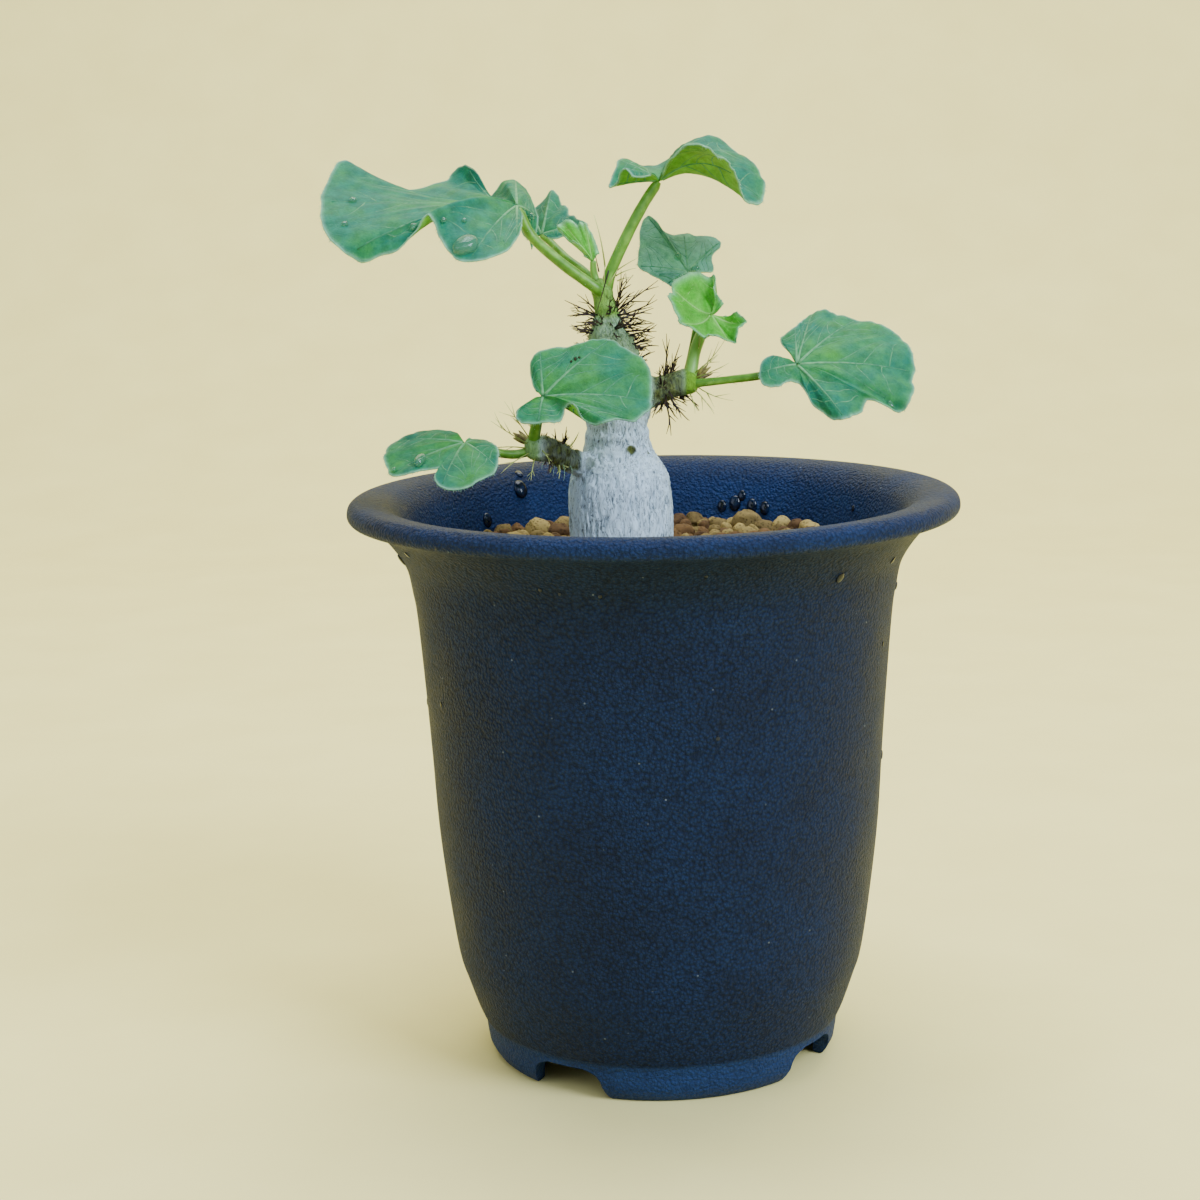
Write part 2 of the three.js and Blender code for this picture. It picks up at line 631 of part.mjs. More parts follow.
    margin: [
      [2, 0.5, 1.5, -12], [1.5, 1, 2.5, -12], [0.5, 1, 4, -12], [1, 3, 5, -12],
      [0.5, 3, 6, -12], [-1.5, 3, 6.5, -12], [-3.5, 2, 6.5, -12], [-6, 0.5, 5, -12],
      [-6.5, -1, 3.5, -12], [-6.5, -2.5, 2.5, -12], [-5.5, -4, 0, -12], [-5, -5, -1, -12],
      [-3, -5.5, -2, -12], [-1.5, -5.5, -3, -12], [0, -5, -3, -12], [1.5, -5, -3.5, -12],
      [3.5, -4.5, -4, -12], [4, -4, -3.5, -12], [4.5, -3, -2, -12], [5.5, -2, -1, -12],
      [4.4, -1.2, 0.1, -12], [3.5, -0.3, 0, -12], [1.6, 0.8, -0.6, -12],
    ],
  },
  {
    name: 'leaf_right',
    color: 0x5a9e82,
    joint: [23.5, -4, 115],
    up: [0.05, -0.55, 0.85],
    wave: [0.2, 10],
    petiole: [[5, -0.6, 111.9, 0.85], [8.2, -1.3, 112.2, 0.75], [12.8, -2.2, 112.7, 0.7],
      [18, -3.2, 113.4, 0.7], [23.5, -3.5, 114.8, 0.65]],
    margin: [
      [-2.2, 0.7, 0.6, 5], [-3.8, 0.6, 1.4, 5], [-5.4, -0.3, 0.6, 5], [-6, -2, -1.5, 5],
      [-5, -3, -3, 5], [-3.2, -3, -3.2, 5], [-1.6, -2.3, -2.3, 5], [0.2, -2, -2.6, 5],
      [1.3, -3.2, -4.2, 5], [2.3, -4.5, -6, 5], [4, -5.7, -7, 5], [5.5, -7, -8, 5],
      [7, -7.5, -8, 5], [8.6, -6.6, -7.5, 5], [10, -5.3, -6.8, 5], [10.9, -4.2, -5.5, 5],
      [13, -4.4, -6, 5], [15, -4.1, -7, 5], [16.4, -3.7, -7.3, 5], [17.6, -3.3, -6, 5],
      [18.5, -2, -4.6, 5], [18.5, 0, -3, 5], [19, 1.7, -1.3, 5], [19, 3.3, 0.3, 5],
      [18.3, 5.2, 2.2, 5], [17, 7.5, 4, 5], [15, 8.9, 5.2, 5], [13, 9.6, 5.6, 5],
      [11, 9.8, 6.2, 5], [8.5, 10.5, 7, 5], [6.6, 11, 7.2, 5], [4.8, 11.4, 7.9, 5],
      [3, 10.8, 7.3, 5], [1.6, 9, 6.4, 5], [0.6, 7.2, 5.6, 5], [-1.2, 5.8, 4.7, 5],
      [-2.2, 4.6, 3.8, 5], [-1.6, 2.8, 2.4, 5],
    ],
  },
  {
    name: 'leaf_centre_front',
    color: 0x5a9f7c,
    joint: [-17, -13, 111.5],
    up: [-0.05, -0.55, 0.85],
    wave: [0.2, 8],
    petiole: [[-18.3, -10.2, 103.2, 1.15], [-18.6, -10.9, 104.9, 1.05], [-18.3, -11.8, 106.5, 1],
      [-17.7, -12.7, 109.2, 0.95], [-17.1, -12.6, 111.3, 0.9]],
    margin: [
      [-1, -0.4, -0.5, 5], [-3.5, -2, -1.5, 5], [-4, -2.5, -2.5, 5], [-3, -4, -3.5, 5],
      [0, -5, -3.5, 5], [1.5, -5, -3.5, 5], [3, -4.5, -3, 5], [3.5, -3.5, -1.5, 5],
      [4.6, -4.5, -0.8, 5], [5.5, -4.7, -1.4, 5], [6.5, -4, -3.1, 5], [8.5, -4.5, -4.1, 5],
      [10, -5, -3.5, 5], [12, -4.5, -3, 5], [14.5, -4.5, -3.5, 5], [16, -3.5, -2.5, 5],
      [17, -2, -1.5, 5], [17, 0, 0.5, 5], [17, 2, 3, 5], [15.5, 3.5, 5.5, 5], [12.5, 5, 7.5, 5],
      [10, 6, 8.5, 5], [7.5, 6, 8, 5], [4, 5.5, 7.5, 5], [0, 5, 7, 5], [-1.5, 4.5, 6, 5],
      [-2, 3.5, 4, 5], [-1.5, 1.5, 2, 5], [-1, 0.5, 1, 5],
    ],
  },
  {
    name: 'leaf_low_left',
    color: 0x5a9c78,
    joint: [-29.5, -13.5, 104.5],
    up: [-0.05, -0.35, 0.95],
    wave: [0.15, 6],
    petiole: [[-18.8, -10.4, 102.9, 0.85], [-20.7, -10.7, 102.4, 0.8], [-22.7, -11.5, 102.4, 0.8],
      [-26, -13, 103.2, 0.75], [-29.2, -13.3, 104.1, 0.7]],
    margin: [
      [-1.5, 2.5, 1, 5], [-3, 4, 1.5, 5], [-7, 5, 1.5, 5], [-9.5, 3.5, 1, 5], [-12, 1, -0.5, 5],
      [-12.5, -1.5, -1.5, 5], [-12, -4, -3, 5], [-11, -6, -4, 5], [-9, -7, -4, 5],
      [-7, -6.5, -3.5, 5], [-4.5, -6.5, -3, 5], [-3.5, -6.5, -3, 5], [-4, -8.5, -4, 5],
      [-3.5, -10.5, -5, 5], [-1.5, -12, -5.5, 5], [1, -12, -5.5, 5], [3, -11, -4.5, 5],
      [5, -8, -3.5, 5], [5.5, -4.5, -1.5, 5], [5, -2, -0.5, 5], [4, 0, 0, 5], [2, 1.5, 0.5, 5],
      [0.5, 1, 0.5, 5],
    ],
  },
];

// The points of a blade: rays from the junction to the scalloped and waved margin
function bladeGrid(leaf) {
  const up = point(leaf.up).normalize();
  const curve = new THREE.CatmullRomCurve3(leaf.margin.map(point), false, 'catmullrom', 0.5);
  const arches = new THREE.CatmullRomCurve3(
    leaf.margin.map((row) => new THREE.Vector3(row[3] / 100, 0, 0)), false, 'catmullrom', 0.5);
  const rays = Math.round(leaf.margin.length * SAMPLES_PER_ROW);
  const grid = [];
  for (let i = 0; i <= rays; i += 1) {
    const t = i / rays;
    const reach = curve.getPoint(t).multiplyScalar(1 + SCALLOP * (i % 2 === 0 ? 1 : -1));
    const arch = arches.getPoint(t).x * reach.length();
    const wave = leaf.wave[0] * Math.sin(t * leaf.wave[1] * Math.PI * 2);
    const ray = [];
    for (let k = 0; k <= BLADE_RINGS; k += 1) {
      const u = k / BLADE_RINGS;
      const vertex = reach.clone().multiplyScalar(u);
      vertex.addScaledVector(up, 4 * u * (1 - u) * arch + wave * u * u);
      ray.push(vertex);
    }
    grid.push(ray);
  }
  return { grid, up };
}

// Half the blade's thickness along its facing, more where the blade slopes, so that it stays
// even and its two faces never cross
function halfAlong(grid, up, i, k) {
  if (k === 0) {
    return BLADE_THICKNESS / 2;
  }
  const before = grid[Math.max(i - 1, 0)][k];
  const after = grid[Math.min(i + 1, grid.length - 1)][k];
  const inner = grid[i][k - 1];
  const outer = grid[i][Math.min(k + 1, BLADE_RINGS)];
  const alongRay = new THREE.Vector3().subVectors(outer, inner);
  const alongMargin = new THREE.Vector3().subVectors(after, before);
  const facing = alongRay.cross(alongMargin).normalize().dot(up);
  return BLADE_THICKNESS / 2 / Math.max(facing, STEEPEST_FACING);
}

function bladeSolid(leaf) {
  const { grid, up } = bladeGrid(leaf);
  const rays = grid.length;
  const rings = BLADE_RINGS;
  const positions = [];
  const index = [];
  for (const side of [1, -1]) {
    const middle = halfAlong(grid, up, 0, 0) * side;
    positions.push(up.x * middle, up.y * middle, up.z * middle);
    for (let i = 0; i < rays; i += 1) {
      for (let k = 1; k <= rings; k += 1) {
        const vertex = grid[i][k].clone();
        vertex.addScaledVector(up, halfAlong(grid, up, i, k) * side);
        positions.push(vertex.x, vertex.y, vertex.z);
      }
    }
  }
  const count = 1 + rays * rings;
  const id = (i, k, lower) => lower * count + (k === 0 ? 0 : 1 + i * rings + (k - 1));
  for (let i = 0; i < rays - 1; i += 1) {
    for (let k = 0; k < rings; k += 1) {
      index.push(id(i, k, 0), id(i, k + 1, 0), id(i + 1, k + 1, 0));
      index.push(id(i, k, 1), id(i + 1, k + 1, 1), id(i, k + 1, 1));
      if (k > 0) {
        index.push(id(i, k, 0), id(i + 1, k + 1, 0), id(i + 1, k, 0));
        index.push(id(i, k, 1), id(i + 1, k, 1), id(i + 1, k + 1, 1));
      }
    }
    index.push(id(i + 1, rings, 0), id(i, rings, 0), id(i, rings, 1));
    index.push(id(i + 1, rings, 0), id(i, rings, 1), id(i + 1, rings, 1));
  }
  const last = rays - 1;
  for (let k = 0; k < rings; k += 1) {
    index.push(id(0, k + 1, 0), id(0, k, 0), id(0, k, 1));
    index.push(id(0, k + 1, 0), id(0, k, 1), id(0, k + 1, 1));
    index.push(id(last, k, 0), id(last, k + 1, 0), id(last, k + 1, 1));
    index.push(id(last, k, 0), id(last, k + 1, 1), id(last, k, 1));
  }
  const geometry = new THREE.BufferGeometry();
  geometry.setAttribute('position', new THREE.Float32BufferAttribute(positions, 3));
  geometry.setIndex(index);
  geometry.translate(leaf.joint[0], leaf.joint[1], leaf.joint[2]);
  return toSolid(geometry);
}

function largestPart(solid) {
  let best = null;
  for (const part of solid.decompose()) {
    if (best === null || part.volume() > best.volume()) {
      best = part;
    }
  }
  return best;
}

function makeLeaf(leaf, socket) {
  const petiole = toSolid(taperedTube(leaf.petiole, PETIOLE_SIDES, PETIOLE_STEPS));
  const free = petiole.subtract(socket);
  const solid = largestPart(bladeSolid(leaf).add(free));
  return toMesh(solid, leaf.name, finish(leaf.color, 0.6));
}

const plant = new THREE.Group();
plant.add(makePot());
plant.add(makeSoil());
for (const piece of makeStemPieces()) {
  plant.add(piece);
}
const socket = stemSolid(JOINT_GAP);
for (const leaf of LEAVES) {
  plant.add(makeLeaf(leaf, socket));
}

// The origin is the middle of the footprint on the surface the pot stands on
const box = new THREE.Box3().setFromObject(plant);
plant.position.set(-(box.min.x + box.max.x) / 2, -(box.min.y + box.max.y) / 2, -box.min.z);

const group = new THREE.Group();
group.add(plant);

export default group;
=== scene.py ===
import math
from functools import partial

import bmesh
import bpy
import numpy as np
from bpy.props import FloatProperty, FloatVectorProperty, IntProperty, PointerProperty
from mathutils import Matrix, Vector, noise


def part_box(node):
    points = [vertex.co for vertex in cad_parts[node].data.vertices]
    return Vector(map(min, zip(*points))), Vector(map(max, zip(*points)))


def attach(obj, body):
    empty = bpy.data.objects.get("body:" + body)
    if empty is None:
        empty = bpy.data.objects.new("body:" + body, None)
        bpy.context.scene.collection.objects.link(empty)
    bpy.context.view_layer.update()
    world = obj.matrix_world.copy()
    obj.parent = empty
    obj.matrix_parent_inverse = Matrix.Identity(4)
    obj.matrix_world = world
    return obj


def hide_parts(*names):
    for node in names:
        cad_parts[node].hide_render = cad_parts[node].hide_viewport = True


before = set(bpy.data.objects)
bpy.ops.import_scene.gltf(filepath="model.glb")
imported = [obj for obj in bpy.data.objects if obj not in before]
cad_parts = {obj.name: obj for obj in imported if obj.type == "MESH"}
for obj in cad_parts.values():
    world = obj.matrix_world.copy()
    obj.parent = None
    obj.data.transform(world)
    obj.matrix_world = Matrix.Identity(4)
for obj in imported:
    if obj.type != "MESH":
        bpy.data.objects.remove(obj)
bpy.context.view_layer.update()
POT_LOW, POT_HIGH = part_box("pot")

bl_info = {
    "name": "Potted jatropha marginata",
    "version": (1, 0, 0),
    "blender": (4, 5, 0),
    "location": "3D View > Sidebar > Jatropha",
    "description": "A spiny jatropha with a silvery swollen stem in a long nursery pot",
    "category": "Add Mesh",
}

# All shapes are worked out in millimetres from the pot's axis on the floor, front towards -Y
MM = 0.001
POT_AXIS = np.array([(POT_LOW.x + POT_HIGH.x) / 2, (POT_LOW.y + POT_HIGH.y) / 2, 0.0])


def linear(hex_colour):
    """The linear colour, with full alpha, of an sRGB hex value"""
    parts = [int(hex_colour[k:k + 2], 16) / 255 for k in (1, 3, 5)]
    parts = [p / 12.92 if p <= 0.04045 else ((p + 0.055) / 1.055) ** 2.4 for p in parts]
    return (*parts, 1.0)


def unit(vectors):
    """Vectors of length one, along the last axis"""
    vectors = np.asarray(vectors, float)
    return vectors / np.maximum(np.linalg.norm(vectors, axis=-1, keepdims=True), 1e-9)


def turns(count):
    """Angles spread evenly over one turn"""
    return np.arange(count) / count * 2 * math.pi


def blend_step(low, high, values):
    """0 below low and 1 above high, with a smooth turn between them"""
    share = np.clip((np.asarray(values, float) - low) / (high - low), 0, 1)
    return share * share * (3 - 2 * share)


def spline(rows, places):
    """Points on a smooth curve through rows, at places from 0 to 1 spread evenly over the rows"""
    rows = np.asarray(rows, float)
    padded = np.vstack([2 * rows[0] - rows[1], rows, 2 * rows[-1] - rows[-2]])
    spot = np.clip(np.asarray(places, float), 0, 1) * (len(rows) - 1)
    index = np.minimum(spot.astype(int), len(rows) - 2)
    w = (spot - index)[:, None]
    before, start, end, after = (padded[index + k] for k in range(4))
    bend = 2 * before - 5 * start + 4 * end - after + w * (3 * (start - end) + after - before)
    return start + 0.5 * w * (end - before + w * bend)


def rough(points, size, octaves=3):
    """Seeded cloud noise at points in millimetres, about -1 to 1, with lumps of that size"""
    return np.array([noise.fractal(Vector(p) / size, 0.9, 2.0, octaves) for p in points])


def grid_faces(rows, columns, around=False, start=0):
    """Quads between rows of points, closed around where asked"""
    faces = []
    last = columns if around else columns - 1
    for r in range(rows - 1):
        for c in range(last):
            a = start + r * columns + c
            b = start + r * columns + (c + 1) % columns
            faces.append((a, b, b + columns, a + columns))
    return faces


def end_faces(first, last, count):
    """The two faces that close a tube, from the first points of its first and last rings"""
    return [tuple(range(first + count - 1, first - 1, -1)), tuple(range(last, last + count))]


def tubes(paths, radii, sides):
    """Round closed tubes along many paths at once, and the share of the way along of each point"""
    paths = np.asarray(paths, float)
    radii = np.asarray(radii, float)
    count, steps = radii.shape
    way = unit(np.gradient(paths, axis=1))
    mean = unit(way.mean(axis=1))
    helper = np.eye(3)[np.argmin(np.abs(mean), axis=1)]
    across = unit(np.cross(way, helper[:, None, :]))
    along = np.cross(way, across)
    angles = turns(sides)
    ring = across[:, :, None] * np.cos(angles)[:, None] + along[:, :, None] * np.sin(angles)[:, None]
    points = paths[:, :, None] + radii[:, :, None, None] * ring
    faces = []
    for start in range(0, count * steps * sides, steps * sides):
        faces.extend(grid_faces(steps, sides, True, start))
        faces.extend(end_faces(start, start + (steps - 1) * sides, sides))
    share = np.tile(np.repeat(np.linspace(0, 1, steps), sides), count)
    return points.reshape(-1, 3), faces, share


class Shape:
    """The points, faces and per-point numbers of one piece, gathered before its mesh is made"""

    def __init__(self):
        self.points = []
        self.faces = []
        self.finish = []
        self.numbers = {}
        self.count = 0

    def add(self, points, faces, finish=0, **numbers):
        """Adds points, the faces between them, the number of their finish and their own numbers"""
        points = np.asarray(points, float).reshape(-1, 3)
        for face in faces:
            self.faces.append([int(corner) + self.count for corner in face])
        self.finish.extend([finish] * len(faces))
        self.points.append(points)
        for key, values in numbers.items():
            spread = np.broadcast_to(np.asarray(values, float), len(points))
            self.numbers.setdefault(key, []).append((self.count, spread))
        self.count += len(points)

    def add_tubes(self, paths, radii, sides, finish=0, least_way=0, **numbers):
        """Adds tubes whose points hold how far along they are, and the numbers given"""
        points, faces, way = tubes(paths, radii, sides)
        self.add(points, faces, finish, way=np.maximum(way, least_way), **numbers)

    def mesh(self, name):
        """The mesh in millimetres, with each set of numbers as a point attribute"""
        mesh = bpy.data.meshes.new(name)
        mesh.from_pydata(np.vstack(self.points).tolist(), [], self.faces)
        mesh.polygons.foreach_set("material_index", self.finish)
        for key, spans in self.numbers.items():
            values = np.zeros(self.count)
            for start, spread in spans:
                values[start:start + len(spread)] = spread
            write_numbers(mesh, key, values)
        return mesh


def write_numbers(mesh, key, values):
    """Stores one number a point on a mesh, for the materials to read"""
    layer = mesh.attributes.get(key) or mesh.attributes.new(key, "FLOAT", "POINT")
    layer.data.foreach_set("value", np.asarray(values, np.float32))


def read_points(mesh, kind="co"):
    """The points of a mesh as rows, or their normals"""
    rows = np.zeros(len(mesh.vertices) * 3)
    mesh.vertices.foreach_get(kind, rows)
    return rows.reshape(-1, 3)


def write_points(mesh, points):
    """Moves the points of a mesh"""
    mesh.vertices.foreach_set("co", np.asarray(points, np.float32).ravel())
    mesh.update()


def outward(mesh):
    """Turns all faces of a closed mesh outwards"""
    work = bmesh.new()
    work.from_mesh(mesh)
    bmesh.ops.recalc_face_normals(work, faces=work.faces)
    work.to_mesh(mesh)
    work.free()
    return mesh


def add_object(name, data):
    """A new object in the scene"""
    made = bpy.data.objects.new(name, data)
    bpy.context.scene.collection.objects.link(made)
    return made


def seat(mesh, name, materials, nodes=()):
    """Turns a mesh in millimetres into a finished piece that rides on the plant's body"""
    write_points(mesh, read_points(mesh) * MM + POT_AXIS)
    for material in materials:
        mesh.materials.append(material)
    mesh.shade_smooth()
    mesh.validate()
    mesh.update()
    piece = add_object(name, mesh)
    if nodes:
        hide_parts(*nodes)
    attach(piece, "root")
    return piece


def modified(mesh, steps):
    """The mesh that a list of modifiers makes of a mesh, each step a kind and its settings"""
    work = add_object(mesh.name, mesh)
    for kind, settings in steps:
        modifier = work.modifiers.new(kind.lower(), kind)
        for key, value in settings.items():
            setattr(modifier, key, value)
    graph = bpy.context.evaluated_depsgraph_get()
    result = bpy.data.meshes.new_from_object(work.evaluated_get(graph))
    result.name = mesh.name
    bpy.data.objects.remove(work)
    return result


def add_node(material, kind, inputs=(), stops=(), **settings):
    """Adds a shader node with its settings, links or values for its inputs, and ramp stops

    It gives the node's outputs. An input that is an output of another node is linked to it.
    """
    tree = material.node_tree
    made = tree.nodes.new("ShaderNode" + kind)
    for key, value in settings.items():
        setattr(made, key, value)
    for key, value in dict(inputs).items():
        if isinstance(value, bpy.types.NodeSocket):
            tree.links.new(value, made.inputs[key])
        else:
            made.inputs[key].default_value = value
    for index, (place, colour) in enumerate(stops):
        if index < 2:
            stop = made.color_ramp.elements[index]
            stop.position = place
        else:
            stop = made.color_ramp.elements.new(place)
        stop.color = colour
    return made.outputs


def new_material(name):
    """An empty node material, and the call that adds a node to it"""
    material = bpy.data.materials.new(name)
    material.use_nodes = True
    material.node_tree.nodes.clear()
    return material, partial(add_node, material)


def end_material(material, inputs):
    """Gives a material its surface shader and output"""
    surface = add_node(material, "BsdfPrincipled", inputs)
    add_node(material, "OutputMaterial", {"Surface": surface["BSDF"]})
    return material


def length_setting(name, description, default):
    """A length that a user may change, in metres"""
    return FloatProperty(name=name, description=description, default=default, unit="LENGTH",
                         precision=5)


def angle_setting(name, description, degrees):
    """An angle that a user may change"""
    return FloatProperty(name=name, description=description, default=math.radians(degrees),
                         subtype="ANGLE", unit="ROTATION")


def colour_setting(name, description, hex_colour):
    """A colour that a user may change"""
    return FloatVectorProperty(name=name, description=description, subtype="COLOR", size=4,
                               min=0, max=1, default=linear(hex_colour))


class PotLook(bpy.types.PropertyGroup):
    """Sizes and colours of the pot"""

    rim_radius: length_setting("Rim radius", "From the pot's axis to the outside of its rim",
                               (POT_HIGH.x - POT_LOW.x) / 2)
    height: length_setting("Height", "From the floor to the top of the rim", POT_HIGH.z)
    grain: length_setting("Grain", "Width of one cell of the moulded grain", 0.55 * MM)
    segments: IntProperty(name="Segments", description="Faces around the pot", default=168, min=24)
    plastic: colour_setting("Plastic", "Colour of the wall", "#0f1e3a")
    worn_and_shaded: colour_setting("Worn plastic", "Colour where the wall is handled and dusty", "#15284b")


class SoilLook(bpy.types.PropertyGroup):
    """Sizes and colours of the granules"""

    level: length_setting("Soil level", "Height of the granules' bed above the floor", 84 * MM)
    smallest: length_setting("Smallest granule", "Radius of the smallest granule of the top", 1.2 * MM)
    largest: length_setting("Largest granule", "Radius of the largest granule of the top", 2.4 * MM)
    seed: IntProperty(name="Seed", description="Where the granules fall", default=17)
    pumice: colour_setting("Pumice", "Colour of the pale granules", "#a08a52")
    clay: colour_setting("Fired clay", "Colour of the brown granules", "#664a2b")


class StemLook(bpy.types.PropertyGroup):
    """Sizes and colours of the stem, its bristles and its buds"""

    wrinkle: length_setting("Wrinkle depth", "Depth of the bark's upright wrinkles", 0.3 * MM)
    skin_step: length_setting("Skin step", "Size of the faces of the stem's skin", 0.3 * MM)
    bristle_radius: length_setting("Bristle radius", "Radius of a bristle at its foot", 0.21 * MM)
    bark: colour_setting("Bark", "Colour of the silvery bark", "#daf2ff")
    furrow: colour_setting("Furrow", "Colour deep in the wrinkles", "#687882")
    green: colour_setting("Green shoot", "Colour of the young skin", "#82ba2c")
    bristle: colour_setting("Bristle", "Colour of the horny bristles", "#170e0d")


class LeafLook(bpy.types.PropertyGroup):
    """Sizes and colours of the leaves"""

    thickness: length_setting("Blade thickness", "Thickness of a blade between its veins", 0.28 * MM)
    pucker: length_setting("Pucker", "How far a blade swells up between its veins", 0.35 * MM)
    hair: length_setting("Margin hair", "Length of the longest hairs of a blade's margin", 0.55 * MM)
    net: length_setting("Vein net", "Width of one mesh of the fine vein net", 1.6 * MM)
    blue: colour_setting("Upper face", "Colour of the waxy upper face", "#166a54")
    green: colour_setting("Upper face centre", "Colour where the upper face's wax is thin", "#3b8536")
    under: colour_setting("Under face", "Colour of the under face", "#569736")
    young: colour_setting("Young blade", "Colour of a young blade", "#48ab2c")
    vein: colour_setting("Veins", "Colour of the raised veins", "#28704e")
    rim: colour_setting("Margin", "Colour of the downy margin", "#97d0b0")
    stalk: colour_setting("Stalk", "Colour of the leaf stalks", "#568c27")


class StageLook(bpy.types.PropertyGroup):
    """The floor, the light and the camera"""

    distance: length_setting("Camera distance", "From the pot's axis to the camera", 0.39015)
    height: length_setting("Camera height", "From the floor to the camera", 0.14936)
    pitch: angle_setting("Pitch", "How far the camera looks down", 10.583)
    yaw: angle_setting("Yaw", "How far the camera turns to the right", -1.318)
    roll: angle_setting("Roll", "How far the camera leans", -1.238)
    lens: FloatProperty(name="Lens", description="Focal length in millimetres", default=72)
    card: colour_setting("Card", "Colour of the pale floor and backdrop", "#fbeea0")


def pattern(width):
    """The scale of a pattern whose cells are that wide, in metres"""
    return 1 / width


def moulded_polypropylene(look):
    # Polypropylene, injection moulded in a spark eroded tool: a satin skin of shallow cells, slightly
    # dusty, with a soft painted highlight along its rolled rim, the inside painted lighter as painted
    # light and the valleys between the cells painted darker as painted shade. The real cells are about
    # 0.3 mm wide, too fine to show, so they are drawn as wide as the grain says.
    material, add = new_material("moulded_polypropylene")
    spot = add("TexCoord")["Object"]
    cells = add("TexVoronoi", {"Scale": pattern(look.grain), "Vector": spot}, feature="F1")
    pits = add("TexNoise", {"Scale": pattern(look.grain * 0.45), "Detail": 2, "Vector": spot})
    haze = add("TexNoise", {"Scale": pattern(14 * MM), "Detail": 5, "Roughness": 0.6,
                            "Vector": spot})
    specks = add("TexNoise", {"Scale": pattern(0.9 * MM), "Detail": 3, "Roughness": 0.7,
                              "Vector": spot})
    worn_and_shaded = add("Math", {0: specks["Fac"], 1: 0.35, 2: haze["Fac"]}, operation="MULTIPLY_ADD")
    base = add("ValToRGB", {"Fac": worn_and_shaded[0]}, [(0.5, look.plastic), (0.95, look.worn_and_shaded)])
    # Painted shade: the valleys between the cells darker and the cell tops lighter
    valley = add("MapRange", {"Value": cells["Distance"], "From Min": 0.1, "From Max": 0.75,
                              "To Min": 1.35, "To Max": 0.55})
    # Painted light: the inside of the wall and the rolled rim lighter, read from a per-point share
    handled_and_lit = add("Attribute", attribute_name="handled_and_lit")
    paler = add("Math", {0: handled_and_lit["Fac"], 1: 1.25, 2: valley["Result"]},
                operation="MULTIPLY_ADD")
    shaded_and_lit = add("Mix", {0: 1, 6: base["Color"], 7: paler[0]}, data_type="RGBA",
                  blend_type="MULTIPLY")
    motes = add("TexVoronoi", {"Scale": pattern(3.8 * MM), "Vector": spot}, feature="F1")
    mote = add("MapRange", {"Value": motes["Distance"], "From Min": 0.02, "From Max": 0.055,
                            "To Min": 0.45, "To Max": 0})
    dusted = add("Mix", {0: mote["Result"], 6: shaded_and_lit[2], 7: linear("#8d99a6")},
                 data_type="RGBA")
    gloss = add("MapRange", {"Value": haze["Fac"], "From Min": 0.3, "From Max": 0.7,
                             "To Min": 0.46, "To Max": 0.6})
    height = add("Math", {0: cells["Distance"], 1: -1, 2: pits["Fac"]}, operation="MULTIPLY_ADD")
    relief = add("Bump", {"Strength": 1, "Distance": 0.3 * MM, "Height": height[0]})
    return end_material(material, {"IOR": 1.49, "Specular IOR Level": 0.11,
                                   "Base Color": dusted[2], "Roughness": gloss["Result"],
                                   "Normal": relief["Normal"]})


def porous_stone(name, dark, light, pore):
    # Crushed pumice or fired clay: matt, with pores of many sizes and a dusting of its own fines
    material, add = new_material(name)
    spot = add("TexCoord")["Object"]
    tone = add("Attribute", attribute_name="tone")
    cloud = add("TexNoise", {"Scale": pattern(1.1 * MM), "Detail": 6, "Roughness": 0.65,
                             "Vector": spot})
    pores = add("TexVoronoi", {"Scale": pattern(pore), "Vector": spot}, feature="F1")
    mixed = add("Math", {0: cloud["Fac"], 1: 0.45, 2: tone["Fac"]}, operation="MULTIPLY_ADD")
    base = add("ValToRGB", {"Fac": mixed[0]}, [(0.1, dark), (0.72, light)])
    hollow = add("MapRange", {"Value": pores["Distance"], "From Min": 0.1, "From Max": 0.45,
                              "To Min": 0.45, "To Max": 1})
    shaded = add("Mix", {0: 1, 6: base["Color"], 7: hollow["Result"]}, data_type="RGBA",
                 blend_type="MULTIPLY")
    height = add("Math", {0: cloud["Fac"], 1: 0.8, 2: hollow["Result"]}, operation="MULTIPLY_ADD")
    relief = add("Bump", {"Strength": 0.8, "Distance": 0.22 * MM, "Height": height[0]})
    return end_material(material, {"Roughness": 0.88, "Specular IOR Level": 0.25,
                                   "Base Color": shaded[2], "Normal": relief["Normal"]})


